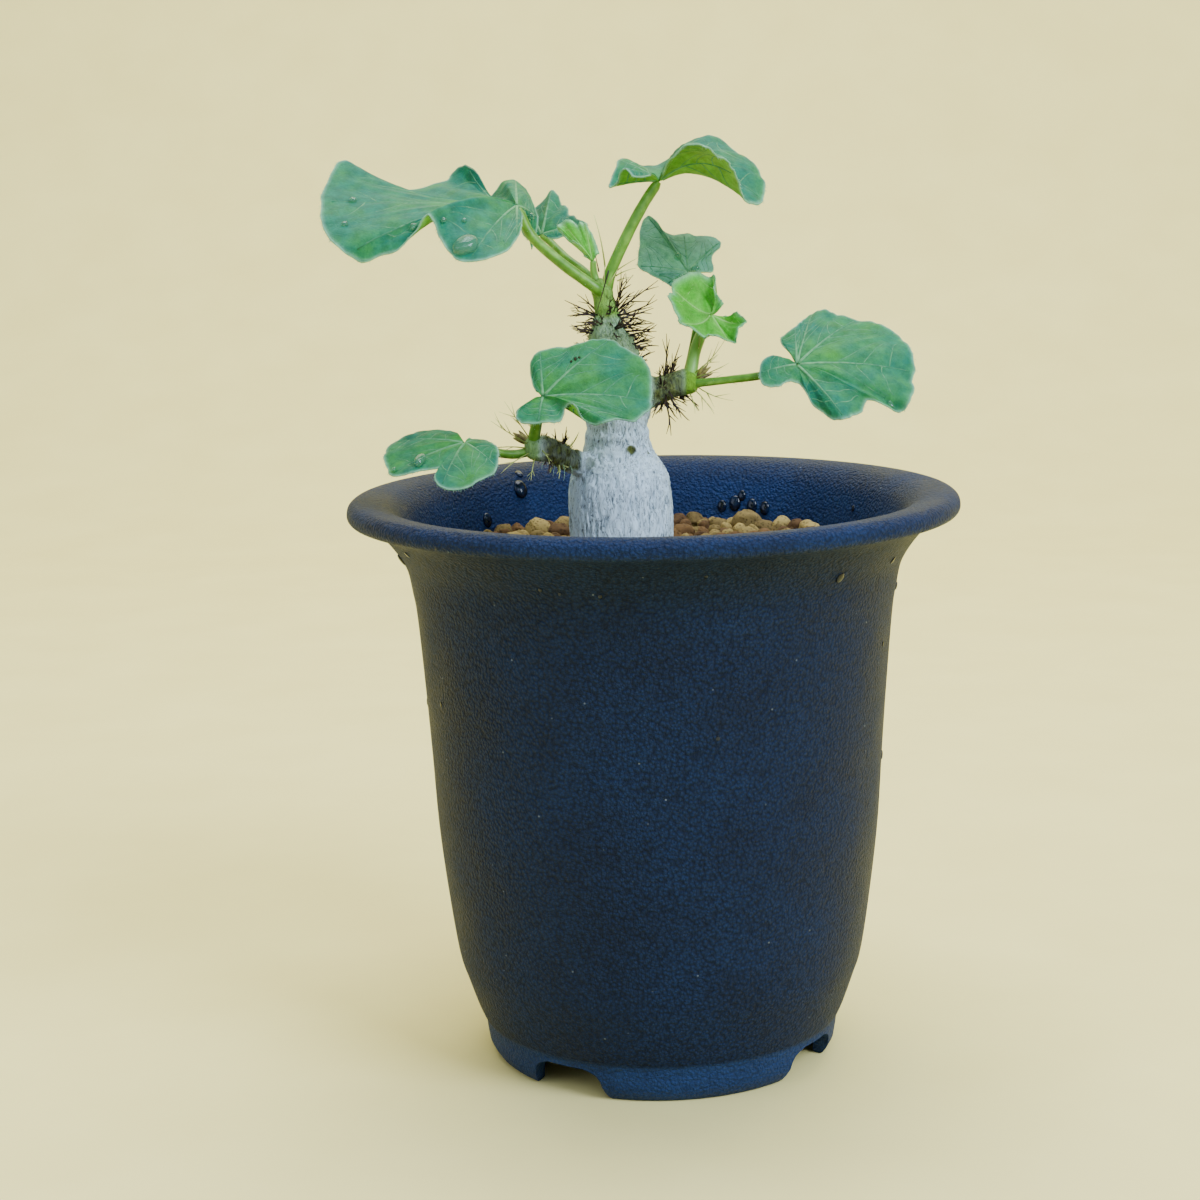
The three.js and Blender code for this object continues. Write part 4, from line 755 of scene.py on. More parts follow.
# The leaves. The joint is where the stalk meets the blade and up is the way the blade faces.
# Stalk rows are x, y, z, radius. Margin rows are x, y, z from the joint, and how far that ray
# arches in percent of its length where it isn't the leaf's own arch. Wave is the height and
# number of ripples, and veins are the places along the margin where the main veins end.
LEAVES = [
    {
        "name": "leaf_big_left", "young": False, "greenness": 0.25, "arch": 5,
        "joint": (-21, 0, 141), "up": (0.05, -0.35, 1), "wave": (0.25, 7),
        "veins": (1.2, 5, 10.8, 17.6, 21, 24.3, 32.6, 36),
        "petiole": [
            (-7.4, -0.7, 126.8, 1.1), (-9.1, -1.6, 128.2, 1), (-14.2, -1, 132, 0.95),
            (-18.7, 0.2, 136.2, 0.9), (-20.8, 0.4, 140.6, 0.85),
        ],
        "margin": [
            (2, 4.5, -7), (3, 6.5, -3), (2.5, 9, -1), (1.5, 12, 1.5), (0.5, 14.5, 3), (-1, 15.5, 4),
            (-3, 14.5, 3.5), (-4, 12.8, 2, 0), (-5.8, 13.2, 1, 0), (-6.3, 12.6, 3.6, -12),
            (-7.1, 13.2, 5.5, -16), (-9.2, 15.6, 6.5, -12), (-10.9, 17.2, 5.5, -7),
            (-12.5, 16.5, 4, -3), (-15, 14, 3.5, 0), (-18.5, 10, 3, -3), (-22.5, 9.5, 4.5, -7),
            (-25.5, 9, 6, -9), (-28.5, 8, 7.5, -8), (-30, 5, 6, -5), (-31, 1, 3.5, -2),
            (-31, -3, 1.5, 0), (-30.5, -7, -1, 2), (-29.5, -10.5, -3.5, 4), (-26.5, -13.5, -6, 7),
            (-23.7, -12.8, -7.6, 11), (-20.8, -12.4, -6.6, 14), (-18, -12, -6, 15),
            (-15.3, -11.8, -3.4, 14), (-13.1, -11.8, -0.9, 9), (-11.5, -12.5, -4, 11),
            (-9.5, -15.5, -6.5, 9), (-8, -17, -7.5, 7), (-5.5, -17.5, -8), (-3, -17, -7.5),
            (-1, -15, -6.5), (0.5, -12, -4.5), (1, -8, -3), (1, -3.5, -1.5),
        ],
    },
    {
        "name": "leaf_behind_left", "young": False, "greenness": 0.3, "arch": 6,
        "joint": (-17.5, 10, 136), "up": (0.1, -0.7, 0.8), "wave": (0.2, 4),
        "veins": (3.5, 10, 13.5),
        "petiole": [
            (-7.7, 1, 126.6, 0.75), (-10, 2.6, 129.9, 0.7), (-13.3, 5.4, 132.4, 0.65),
            (-16.1, 8.8, 134.9, 0.65), (-17.6, 10.3, 135.9, 0.6),
        ],
        "margin": [
            (1, -1, -0.5), (3, -1.5, -0.5), (4.5, -1, 0.5), (6, 0, 1), (7.5, 1, 1.5), (5.5, 2, 2.5),
            (4.5, 3, 3), (4, 5, 4.5), (3, 6.5, 5), (2.5, 8, 6), (1.5, 9, 7), (0.5, 9, 6),
            (-1, 8.5, 4.5), (-2, 8, 3.5), (-3, 6.5, 2.5), (-3.5, 4.5, 1), (-2.5, 2, -0.5),
            (-1.5, 0.5, -0.5),
        ],
    },
    {
        "name": "leaf_young_top", "young": True, "greenness": 0.9, "arch": 6,
        "joint": (-9, 0, 132), "up": (-0.1, -0.8, 0.6), "wave": (0.2, 5),
        "veins": (3, 6.3, 9),
        "petiole": [
            (-8, 0.4, 127.6, 0.7), (-8.7, 0.5, 129.6, 0.65), (-8.9, 0.4, 130.9, 0.6),
            (-8.9, 0.2, 132.1, 0.55),
        ],
        "margin": [
            (1, 0, 1), (0.5, 1, 3), (0, 1, 4), (-1, 2, 5.5), (-2, 2, 6), (-3, 2.5, 6), (-4.5, 3, 6.5),
            (-5.5, 3.3, 5.5), (-5, 3, 4.5), (-4, 1.8, 3.5), (-2.4, -0.8, 3.1), (-1.5, -0.2, 1.5),
            (-1, 0, 0.5),
        ],
    },
    {
        "name": "leaf_upper_right", "young": False, "greenness": 0.3, "arch": 4,
        "joint": (2, 3, 144.5), "up": (0, 0.25, 1), "wave": (0.2, 9),
        "veins": (4, 8.5, 12.5, 16.5, 20, 25.5, 28),
        "petiole": [
            (-6.9, 0.2, 127.2, 1.1), (-6, 0.5, 130.5, 1.05), (-3.1, 1.2, 136.5, 1),
            (-0.4, 2.2, 141.2, 0.95), (1.8, 3, 144.3, 0.9),
        ],
        "margin": [
            (0.5, -3, 1), (1.5, -6.9, 3), (2.5, -9.5, 4), (4, -12, 5.5, 8), (6, -12.5, 5.5, 13),
            (7.5, -12, 5, 15), (9, -11, 4, 16), (10.5, -10, 3, 16), (11.5, -8.5, 1.5, 17),
            (12.5, -6.5, -0.5, 18), (13.5, -4, -3, 18), (14.5, -2, -4, 18), (16, 0, -4, 18),
            (17, 3, -2.5, 18), (17, 5.5, -0.5, 17), (16, 8, 1.5, 15), (14.5, 10.5, 3.5, 13),
            (12.5, 12.5, 4.5, 11), (10.5, 14, 6, 8), (8, 14, 7, 6), (5.5, 13, 6.5), (3, 10.5, 4.5),
            (0.5, 9, 2.5), (-2.5, 7.5, 2.5), (-4.5, 6, 3), (-6, 4, 3.5), (-7, 1.5, 2.5),
            (-8, -0.5, -0.5), (-7, -2, -0.5), (-5.5, -5, 2), (-4, -5.5, 1), (-1.5, -3.5, 1),
        ],
    },
    {
        # Painted light: this leaf's down share lays the pale margin colour over its whole blade,
        # lifting it out of shade
        "name": "leaf_behind_right", "young": False, "greenness": 0.3, "arch": 5, "down": 0.3,
        "joint": (6.5, 9, 129.5), "up": (-0.1, -0.75, 0.65), "wave": (0.2, 4),
        "veins": (4.5, 7, 11, 14, 16.5),
        "petiole": [
            (5.6, 0.6, 111.8, 0.8), (6.2, 2.4, 114, 0.75), (7.6, 4.8, 120, 0.7), (8.4, 6.9, 125, 0.7),
            (6.6, 9.3, 129.5, 0.65),
        ],
        "margin": [
            (1.5, -0.1, 0), (2.5, 0.1, 0), (4, 1, 0), (4, 3.5, 2.5), (5.5, 5.5, 4), (5, 6.5, 5),
            (2, 7, 5.5), (-0.5, 6.5, 6), (-2.5, 5.5, 6), (-4, 6.4, 6.5), (-5, 5.7, 8), (-6.5, 7.5, 9),
            (-7.5, 6, 7.5), (-8, 3, 4), (-8, 0.5, 1), (-6.5, -0.5, 0), (-4.5, -1, -1), (-2.5, -1, -2),
            (-1, -0.5, -1),
        ],
    },
    {
        "name": "leaf_young_cup", "young": True, "greenness": 0.85, "arch": -12, "depth": 2.2,
        "joint": (10, 1, 123), "up": (-0.3, -0.75, 0.6), "wave": (0.3, 8),
        "veins": (4, 7.3, 10.5, 15.5, 19),
        "petiole": [
            (5.4, -0.5, 111.8, 1.15), (6.5, -0.6, 113.6, 1.1), (7.3, 1, 117, 1.05),
            (8.7, 2.6, 120.4, 1), (10, 1.6, 122.8, 0.9),
        ],
        "margin": [
            (2, 0.5, 1.5), (1.5, 1, 2.5), (0.5, 1, 4), (1, 3, 5), (0.5, 3, 6), (-1.5, 3, 6.5),
            (-3.5, 2, 6.5), (-6, 0.5, 5), (-6.5, -1, 3.5), (-6.5, -2.5, 2.5), (-5.5, -4, 0),
            (-5, -5, -1), (-3, -5.5, -2), (-1.5, -5.5, -3), (0, -5, -3), (1.5, -5, -3.5),
            (3.5, -4.5, -4), (4, -4, -3.5), (4.5, -3, -2), (5.5, -2, -1), (4.4, -1.2, 0.1),
            (3.5, -0.3, 0), (1.6, 0.8, -0.6),
        ],
    },
    {
        "name": "leaf_right", "young": False, "greenness": 0.4, "arch": 5,
        "joint": (23.5, -4, 115), "up": (0.05, -0.55, 0.85), "wave": (0.2, 10),
        "veins": (2.8, 12, 21.8, 28.2, 31.8, 34.3),
        "petiole": [
            (5, -0.6, 111.9, 0.85), (8.2, -1.3, 112.2, 0.75), (12.8, -2.2, 112.7, 0.7),
            (18, -3.2, 113.4, 0.7), (23.5, -3.5, 114.8, 0.65),
        ],
        "margin": [
            (-2.2, 0.7, 0.6), (-3.8, 0.6, 1.4), (-5.4, -0.3, 0.6), (-6, -2, -1.5), (-5, -3, -3),
            (-3.2, -3, -3.2), (-1.6, -2.3, -2.3), (0.2, -2, -2.6), (1.3, -3.2, -4.2), (2.3, -4.5, -6),
            (4, -5.7, -7), (5.5, -7, -8), (7, -7.5, -8), (8.6, -6.6, -7.5), (10, -5.3, -6.8),
            (10.9, -4.2, -5.5), (13, -4.4, -6), (15, -4.1, -7), (16.4, -3.7, -7.3), (17.6, -3.3, -6),
            (18.5, -2, -4.6), (18.5, 0, -3), (19, 1.7, -1.3), (19, 3.3, 0.3), (18.3, 5.2, 2.2),
            (17, 7.5, 4), (15, 8.9, 5.2), (13, 9.6, 5.6), (11, 9.8, 6.2), (8.5, 10.5, 7),
            (6.6, 11, 7.2), (4.8, 11.4, 7.9), (3, 10.8, 7.3), (1.6, 9, 6.4), (0.6, 7.2, 5.6),
            (-1.2, 5.8, 4.7), (-2.2, 4.6, 3.8), (-1.6, 2.8, 2.4),
        ],
    },
    {
        "name": "leaf_centre_front", "young": False, "greenness": 0.6, "arch": 5,
        "joint": (-17, -13, 111.5), "up": (-0.05, -0.55, 0.85), "wave": (0.2, 8),
        "veins": (3.8, 12.2, 16.4, 20.7, 24.2),
        "petiole": [
            (-18.3, -10.2, 103.2, 1.15), (-18.6, -10.9, 104.9, 1.05), (-18.3, -11.8, 106.5, 1),
            (-17.7, -12.7, 109.2, 0.95), (-17.1, -12.6, 111.3, 0.9),
        ],
        "margin": [
            (-1, -0.4, -0.5), (-3.5, -2, -1.5), (-4, -2.5, -2.5), (-3, -4, -3.5), (0, -5, -3.5),
            (1.5, -5, -3.5), (3, -4.5, -3), (3.5, -3.5, -1.5), (4.6, -4.5, -0.8), (5.5, -4.7, -1.4),
            (6.5, -4, -3.1), (8.5, -4.5, -4.1), (10, -5, -3.5), (12, -4.5, -3), (14.5, -4.5, -3.5),
            (16, -3.5, -2.5), (17, -2, -1.5), (17, 0, 0.5), (17, 2, 3), (15.5, 3.5, 5.5),
            (12.5, 5, 7.5), (10, 6, 8.5), (7.5, 6, 8), (4, 5.5, 7.5), (0, 5, 7), (-1.5, 4.5, 6),
            (-2, 3.5, 4), (-1.5, 1.5, 2), (-1, 0.5, 1),
        ],
    },
    {
        "name": "leaf_low_left", "young": False, "greenness": 0.5, "arch": 5,
        "joint": (-29.5, -13.5, 104.5), "up": (-0.05, -0.35, 0.95), "wave": (0.15, 6),
        "veins": (3.6, 7, 13.4, 17.3, 20.5),
        "petiole": [
            (-18.8, -10.4, 102.9, 0.85), (-20.7, -10.7, 102.4, 0.8), (-22.7, -11.5, 102.4, 0.8),
            (-26, -13, 103.2, 0.75), (-29.2, -13.3, 104.1, 0.7),
        ],
        "margin": [
            (-1.5, 2.5, 1), (-3, 4, 1.5), (-7, 5, 1.5), (-9.5, 3.5, 1), (-12, 1, -0.5),
            (-12.5, -1.5, -1.5), (-12, -4, -3), (-11, -6, -4), (-9, -7, -4), (-7, -6.5, -3.5),
            (-4.5, -6.5, -3), (-3.5, -6.5, -3), (-4, -8.5, -4), (-3.5, -10.5, -5), (-1.5, -12, -5.5),
            (1, -12, -5.5), (3, -11, -4.5), (5, -8, -3.5), (5.5, -4.5, -1.5), (5, -2, -0.5), (4, 0, 0),
            (2, 1.5, 0.5), (0.5, 1, 0.5),
        ],
    },
]
# Rays between two rows of a margin, and rings from the joint out to it
LEAF_RAYS, LEAF_RINGS = 7, 24
VEIN_STEPS = 18
STALK_STEPS, STALK_SIDES, STALK_STRIPES = 44, 18, 4
MARGIN_RADIUS = 0.13
# Mean gaps between the hairs of margins and stalks, and the longest hair of a stalk
MARGIN_HAIR_GAP, STALK_HAIR_GAP, STALK_HAIR = 0.32, 0.34, 0.34
# The four finishes of a leaf
BLADE, RIB, HAIR, STALK = range(4)

# Each bead of rain is its leaf, place along the margin, share of the way out, width and depth
BEADS = [
    ("leaf_big_left", 31.8, 0.87, 4.5, 3.7), ("leaf_big_left", 21, 0.84, 1.3, 1.1),
    ("leaf_big_left", 22.9, 0.9, 1.1, 0.9), ("leaf_big_left", 26.2, 0.78, 1.4, 1.2),
    ("leaf_big_left", 30.3, 0.72, 0.9, 0.8), ("leaf_big_left", 29.6, 0.92, 1, 0.9),
    ("leaf_big_left", 0.8, 0.6, 1.4, 1.1), ("leaf_behind_right", 10.2, 0.26, 1.6, 1.1),
    ("leaf_behind_right", 2.3, 0.3, 1.2, 1), ("leaf_low_left", 7.8, 0.7, 3.2, 1.8),
    ("leaf_low_left", 6.8, 0.94, 0.9, 0.8), ("leaf_right", 17.8, 0.9, 1.5, 0.9),
]
# Crumbs of peat on the leaf in front: place along the margin, share of the way out and size
CRUMBS = [(21.4, 0.58, 0.34), (21.1, 0.6, 0.22), (21.7, 0.55, 0.2)]
# Beads of rain on the pot's outside and inside: angle around it in degrees, height and width
OUTER_BEADS = [
    (-88, 60, 1.1), (86, 50, 1.2), (-96, 33, 0.7), (-64, 63, 0.7), (-74.6, 85.6, 1.7), (-62, 88, 0.9),
    (-24.1, 85.2, 0.6), (-19.8, 84.7, 0.5), (-11.2, 84.5, 0.6), (43, 84.9, 1.4), (14.1, 61.8, 0.7),
    (10.2, 87.6, 0.6), (63.9, 85.4, 0.9), (70, 71, 0.6), (-120, 72, 0.6), (-40.3, 91.9, 0.6),
    (82, 79, 1),
]
INNER_BEADS = [
    (-144.7, 90.6, 2.6), (-146.1, 93, 1.4), (-132.5, 86.1, 2), (158.1, 86.8, 2.2), (149.6, 86.2, 1.9),
    (156.3, 88.2, 1.5), (161.6, 86.2, 1.7), (153.3, 86.5, 2), (-170, 89, 0.7), (120, 88, 0.8),
]
BEAD_SIDES, BEAD_RINGS = 28, 12
BRISTLE_SEED, LEAF_SEED, CRUMB_SEED = 5, 100, 3

# Each lamp is its name, its place and size in metres, its power in watts and its tint
LAMPS = [
    ("key_light", (0.75, -0.7, 0.8), 0.55, 19, "#dfecff"),
    ("fill_light", (-0.95, -0.55, 0.5), 0.8, 3.8, "#e8f1ff"),
    ("top_light", (0.05, 0.1, 1.15), 0.7, 10, "#eaf1ff"),
    ("front_light", (0.1, -1, 0.95), 0.6, 4.5, "#d5e4ff"),
    ("back_light", (0, 0.45, 0.95), 1.2, 11, "#f8f6cf"),
]
LAMP_TARGET = Vector((0, 0, 0.09))
# The card's side view in metres: flat to where it bends up, then straight up
CARD_FRONT, CARD_BEND, CARD_RADIUS, CARD_WIDTH = -1.4, 0.5, 0.5, 4
CARD_COLUMNS, CARD_BEND_ROWS = 9, 24
CARD_MIDDLE, CARD_HEIGHTS = 0.2, (1.2, 2.2)
SKY_TINT, SKY_STRENGTH = "#dfe8f2", 0.35
SENSOR_WIDTH = 36


def lathe(profile, segments):
    """Points and faces of an outline of radius and height turned around the upright axis"""
    profile = np.asarray(profile, float)
    angles = turns(segments)
    points = np.zeros((len(profile), segments, 3))
    points[:, :, 0] = profile[:, :1] * np.cos(angles)
    points[:, :, 1] = profile[:, :1] * np.sin(angles)
    points[:, :, 2] = profile[:, 1:]
    return points.reshape(-1, 3), grid_faces(len(profile), segments, True)


def prism(outline, origin, across, rise, depth):
    """Points and faces of an outline drawn along two directions and drawn out along a third"""
    outline = np.asarray(outline, float)
    across, rise = np.asarray(across, float), np.asarray(rise, float)
    flat = np.asarray(origin, float) + outline[:, :1] * across + outline[:, 1:] * rise
    points = np.vstack([flat, flat + np.asarray(depth, float)])
    count = len(outline)
    return points, grid_faces(2, count, True) + end_faces(0, count, count)


def drill_shape():
    """The notches of the foot ring and the small drain holes, as one mesh to cut away"""
    cut = Shape()
    outline = NOTCH_OUTLINE + [(-x, z) for x, z in reversed(NOTCH_OUTLINE)]
    for k in range(NOTCH_COUNT):
        angle = NOTCH_FIRST_ANGLE + k * 2 * math.pi / NOTCH_COUNT
        out = np.array([math.cos(angle), math.sin(angle), 0])
        side = np.array([-math.sin(angle), math.cos(angle), 0])
        cut.add(*prism(outline, out * NOTCH_START, side, (0, 0, 1), out * NOTCH_LENGTH))
    angles = turns(HOLE_SIDES)
    circle = np.stack([np.cos(angles), np.sin(angles)], axis=1) * HOLE_RADIUS
    for k in range(HOLE_COUNT):
        angle = (k + 0.5) * 2 * math.pi / HOLE_COUNT
        spot = (HOLE_CIRCLE * math.cos(angle), HOLE_CIRCLE * math.sin(angle), HOLE_START)
        cut.add(*prism(circle, spot, (1, 0, 0), (0, 1, 0), (0, 0, HOLE_LENGTH)))
    return outward(cut.mesh("drill"))


class JATROPHA_OT_stage(bpy.types.Operator):
    """Sets up the camera, the pale card under and behind the plant, and the light"""

    bl_idname = "jatropha.stage"
    bl_label = "Stage"

    def execute(self, context):
        look = context.scene.jatropha_stage
        axis = Vector(POT_AXIS)
        ahead = Vector((math.sin(look.yaw) * math.cos(look.pitch),
                        math.cos(look.yaw) * math.cos(look.pitch), -math.sin(look.pitch)))
        level = Vector((math.cos(look.yaw), -math.sin(look.yaw), 0))
        upright = level.cross(ahead)
        right = math.cos(look.roll) * level + math.sin(look.roll) * upright
        top = math.cos(look.roll) * upright - math.sin(look.roll) * level
        view = bpy.data.cameras.new("camera")
        view.sensor_width = SENSOR_WIDTH
        view.lens = look.lens
        view.clip_start = 0.01
        camera = add_object("camera", view)
        facing = Matrix((right, top, -ahead)).transposed().to_4x4()
        place = axis + Vector((0, -look.distance, look.height))
        camera.matrix_world = Matrix.Translation(place) @ facing
        context.scene.camera = camera

        side = [(CARD_FRONT, 0), (CARD_MIDDLE, 0)]
        side += [(CARD_BEND + CARD_RADIUS * math.sin(a), CARD_RADIUS * (1 - math.cos(a)))
                 for a in np.linspace(0, math.pi / 2, CARD_BEND_ROWS)]
        side += [(CARD_BEND + CARD_RADIUS, height) for height in CARD_HEIGHTS]
        across = np.linspace(-CARD_WIDTH / 2, CARD_WIDTH / 2, CARD_COLUMNS)
        sweep = Shape()
        sweep.add([[(x, y, z) for x in across] for y, z in side],
                  grid_faces(len(side), CARD_COLUMNS))
        card = add_object("card", sweep.mesh("card"))
        card.data.materials.append(pale_card(look))
        card.data.shade_smooth()

        for name, spot, size, power, tint in LAMPS:
            light = bpy.data.lights.new(name, "AREA")
            light.size = size
            light.energy = power
            light.color = linear(tint)[:3]
            lamp = add_object(name, light)
            lamp.location = spot
            aim = axis + LAMP_TARGET - lamp.location
            lamp.rotation_euler = aim.to_track_quat("-Z", "Y").to_euler()
        world = bpy.data.worlds.new("soft_room")
        world.use_nodes = True
        sky = world.node_tree.nodes["Background"]
        sky.inputs["Color"].default_value = linear(SKY_TINT)
        sky.inputs["Strength"].default_value = SKY_STRENGTH
        context.scene.world = world
        return {"FINISHED"}


class JATROPHA_OT_pot(bpy.types.Operator):
    """Builds the pot with its rolled rim, foot notches and drain holes"""

    bl_idname = "jatropha.pot"
    bl_label = "Pot"

    def execute(self, context):
        look = context.scene.jatropha_pot
        places = np.linspace(0, 1, (len(WALL_PROFILE) - 1) * WALL_STEPS + 1)
        profile = np.vstack([FOOT_PROFILE, spline(WALL_PROFILE, places)])
        profile[:, 0] *= look.rim_radius / (CAD_RIM_RADIUS * MM)
        profile[:, 1] *= look.height / (CAD_POT_HEIGHT * MM)
        points, faces = lathe(profile, look.segments)
        last = (len(profile) - 1) * look.segments
        for k in range(look.segments):
            after = (k + 1) % look.segments
            faces.append((last + k, last + after, after, k))
        shape = Shape()
        shape.add(points, faces)
        drill = add_object("drill", drill_shape())
        mesh = modified(outward(shape.mesh("pot_wall")),
                        [("BOOLEAN", {"operation": "DIFFERENCE", "object": drill,
                                      "solver": "EXACT"})])
        bpy.data.objects.remove(drill)
        points = read_points(mesh)
        outside = np.array(WALL_PROFILE[OUTSIDE])
        reach = np.interp(points[:, 2], outside[:, 1], outside[:, 0])
        inward = reach - np.hypot(points[:, 0], points[:, 1])
        # Painted light: the rim's rolled edge a little lighter and the whole inside lighter still
        rim = 0.25 * blend_step(*RIM_LIGHT, points[:, 2])
        inside = blend_step(0.3, 1, inward) * (1 - blend_step(*INSIDE_LIGHT, points[:, 2]))
        write_numbers(mesh, "handled_and_lit", np.maximum(inside, rim))
        pot = seat(mesh, "pot_wall", [moulded_polypropylene(look)], ["pot"])
        pot.data.set_sharp_from_angle(angle=POT_SHARP_ANGLE)
        return {"FINISHED"}


def inner_radius(height):
    """The radius of the pot's inside at a height"""
    rows = np.array(WALL_PROFILE[AROUND_SOIL])[::-1]
    return np.interp(height, rows[:, 1], rows[:, 0])


def granule_cloud(draw, middles, sizes, base_points):
    """The points of many broken granules: balls squeezed, cut flat on many sides and turned"""
    count = len(middles)
    squeeze = draw.uniform(0.78, 1.22, (count, 1, 3))
    points = base_points[None] * squeeze
    cuts = unit(draw.normal(size=(count, GRANULE_CUTS, 3)))
    depth = draw.uniform(0.66, 0.95, (count, GRANULE_CUTS))
    for k in range(GRANULE_CUTS):
        beyond = np.einsum("nvi,ni->nv", points, cuts[:, k]) - depth[:, k:k + 1]
        points = points - np.maximum(beyond, 0)[..., None] * cuts[:, k][:, None] * 0.93
    w, x, y, z = unit(draw.normal(size=(count, 4))).T
    spin = np.stack([
        1 - 2 * (y * y + z * z), 2 * (x * y - w * z), 2 * (x * z + w * y),
        2 * (x * y + w * z), 1 - 2 * (x * x + z * z), 2 * (y * z - w * x),
        2 * (x * z - w * y), 2 * (y * z + w * x), 1 - 2 * (x * x + y * y),
    ], axis=1).reshape(-1, 3, 3)
    points = np.einsum("nij,nvj->nvi", spin, points)
    return points * sizes[:, None, None] + middles[:, None, :]


def ball(subdivisions):
    """The points and faces of a ball of triangles"""
    work = bmesh.new()
    bmesh.ops.create_icosphere(work, subdivisions=subdivisions, radius=1)
    work.verts.index_update()
    points = np.array([tuple(v.co) for v in work.verts])
    faces = [[v.index for v in f.verts] for f in work.faces]
    work.free()
    return points, faces


def strewn(draw, smallest, largest, share, tries):
    """Middles and sizes of granules strewn over the soil, each clear of the others and the stem"""
    placed = []
    for _ in range(tries):
        size = smallest + (largest - smallest) * draw.random() ** 1.5
        angle = draw.random() * 2 * math.pi
        radius = (GRANULE_ROOM - size) * math.sqrt(draw.random())
        x, y = radius * math.cos(angle), radius * math.sin(angle)
        if math.hypot(x - STEM_SPOT_X, y) < STEM_ROOM + size * 0.7:
            continue
        if all(math.hypot(x - a, y - b) > (size + c) * share for a, b, c in placed):
            placed.append((x, y, size))
    return np.array(placed)


class JATROPHA_OT_soil(bpy.types.Operator):
    """Builds the bed of soil and strews pumice and clay granules over it"""

    bl_idname = "jatropha.soil"
    bl_label = "Soil"

    def execute(self, context):
        look = context.scene.jatropha_soil
        draw = np.random.default_rng(look.seed)
        level = look.level / MM
        bed_top = level - BED_SINK
        side = [(max(inner_radius(h), BED_LEAST) - BED_GAP, h)
                for h in np.linspace(SOIL_FOOT, bed_top, BED_SIDE_ROWS)]
        top = [(r, bed_top) for r in np.linspace(side[-1][0] - 0.6, BED_MIDDLE, BED_TOP_ROWS)]
        rows = [(BED_MIDDLE, SOIL_FOOT)] + side + top
        points, faces = lathe(rows, SOIL_SEGMENTS)
        faces += end_faces(0, (len(rows) - 1) * SOIL_SEGMENTS, SOIL_SEGMENTS)
        lumps = points[:, 2] > bed_top - 0.1
        points[lumps, 2] += 0.7 * rough(points[lumps], 2.4, 4)
        shape = Shape()
        shape.add(points, faces, tone=BED_TONE)

        for subdivisions, share, sink, tries in LAYERS:
            places = strewn(draw, look.smallest / MM, look.largest / MM, share, tries)
            count = len(places)
            sizes = places[:, 2] * 1.06
            heights = level - sizes * 0.2 - sink + draw.uniform(-0.5, 0.5, count)
            heights += 0.5 * blend_step(30, 38, np.hypot(places[:, 0], places[:, 1]))
            middles = np.column_stack([places[:, :2], heights])
            base_points, base_faces = ball(subdivisions)
            cloud = granule_cloud(draw, middles, sizes, base_points)
            pits = rough(cloud.reshape(-1, 3), 0.8).reshape(count, -1)
            cloud += (cloud - middles[:, None]) * pits[..., None] * 0.1
            kinds = draw.choice([1, 2], count, p=[PUMICE_SHARE, CLAY_SHARE])
            tones = draw.uniform(0, 0.55, count)
            for points, kind, tone in zip(cloud, kinds, tones):
                shape.add(points, base_faces, int(kind), tone=tone)
        # The bed is clay fines painted very dark, as painted shade in the gaps between and under the
        # granules
        bed = porous_stone("shaded_clay_fines", linear("#1d130b"), linear("#4a3622"), 0.9 * MM)
        pumice = porous_stone("pumice", linear("#4c3b20"), look.pumice, 0.6 * MM)
        clay = porous_stone("fired_clay", linear("#352315"), look.clay, 0.8 * MM)
        seat(shape.mesh("soil_granules"), "soil_granules", [bed, pumice, clay],
             ["soil"])
        return {"FINISHED"}


def stem_tube(shape, rows, sides, steps):
    """Adds a round tapering tube through rows of x, y, z, radius"""
    path = spline(rows, np.linspace(0, 1, steps))
    points, faces, _ = tubes(path[None, :, :3], path[None, :, 3], sides)
    shape.add(points, faces)


def stem_greenness(points):
    """How far the skin is still young and green at points of the stem"""
    x, y, z = points.T
    crown = blend_step(120.5, 123.8, z) * 0.95
    neck = blend_step(104, 116, z) * blend_step(-12, -10, x) * 0.72
    right = blend_step(4.2, 6, x) * blend_step(108, 110, z)
    left = blend_step(-16.8, -18.4, x) * 0.85
    return np.maximum.reduce([crown, neck, right, left])


def woodiness(points):
    """How far the skin is brown and corky at points of the stem, on the side shoots"""
    x, y, z = points.T
    right = blend_step(-0.5, 1, x) * (1 - blend_step(4.6, 6.2, x)) * blend_step(107, 108.5, z)
    left = blend_step(-10.8, -12.2, x) * blend_step(98.6, 99.4, z)
    left *= 1 - blend_step(-16.6, -18.2, x)
    collar = blend_step(116, 118, z) * (1 - blend_step(120, 122, z)) * 0.5
    patches = blend_step(-0.25, 0.25, rough(points, 1.3))
    return np.maximum.reduce([right, left, collar]) * (0.84 + 0.14 * patches)


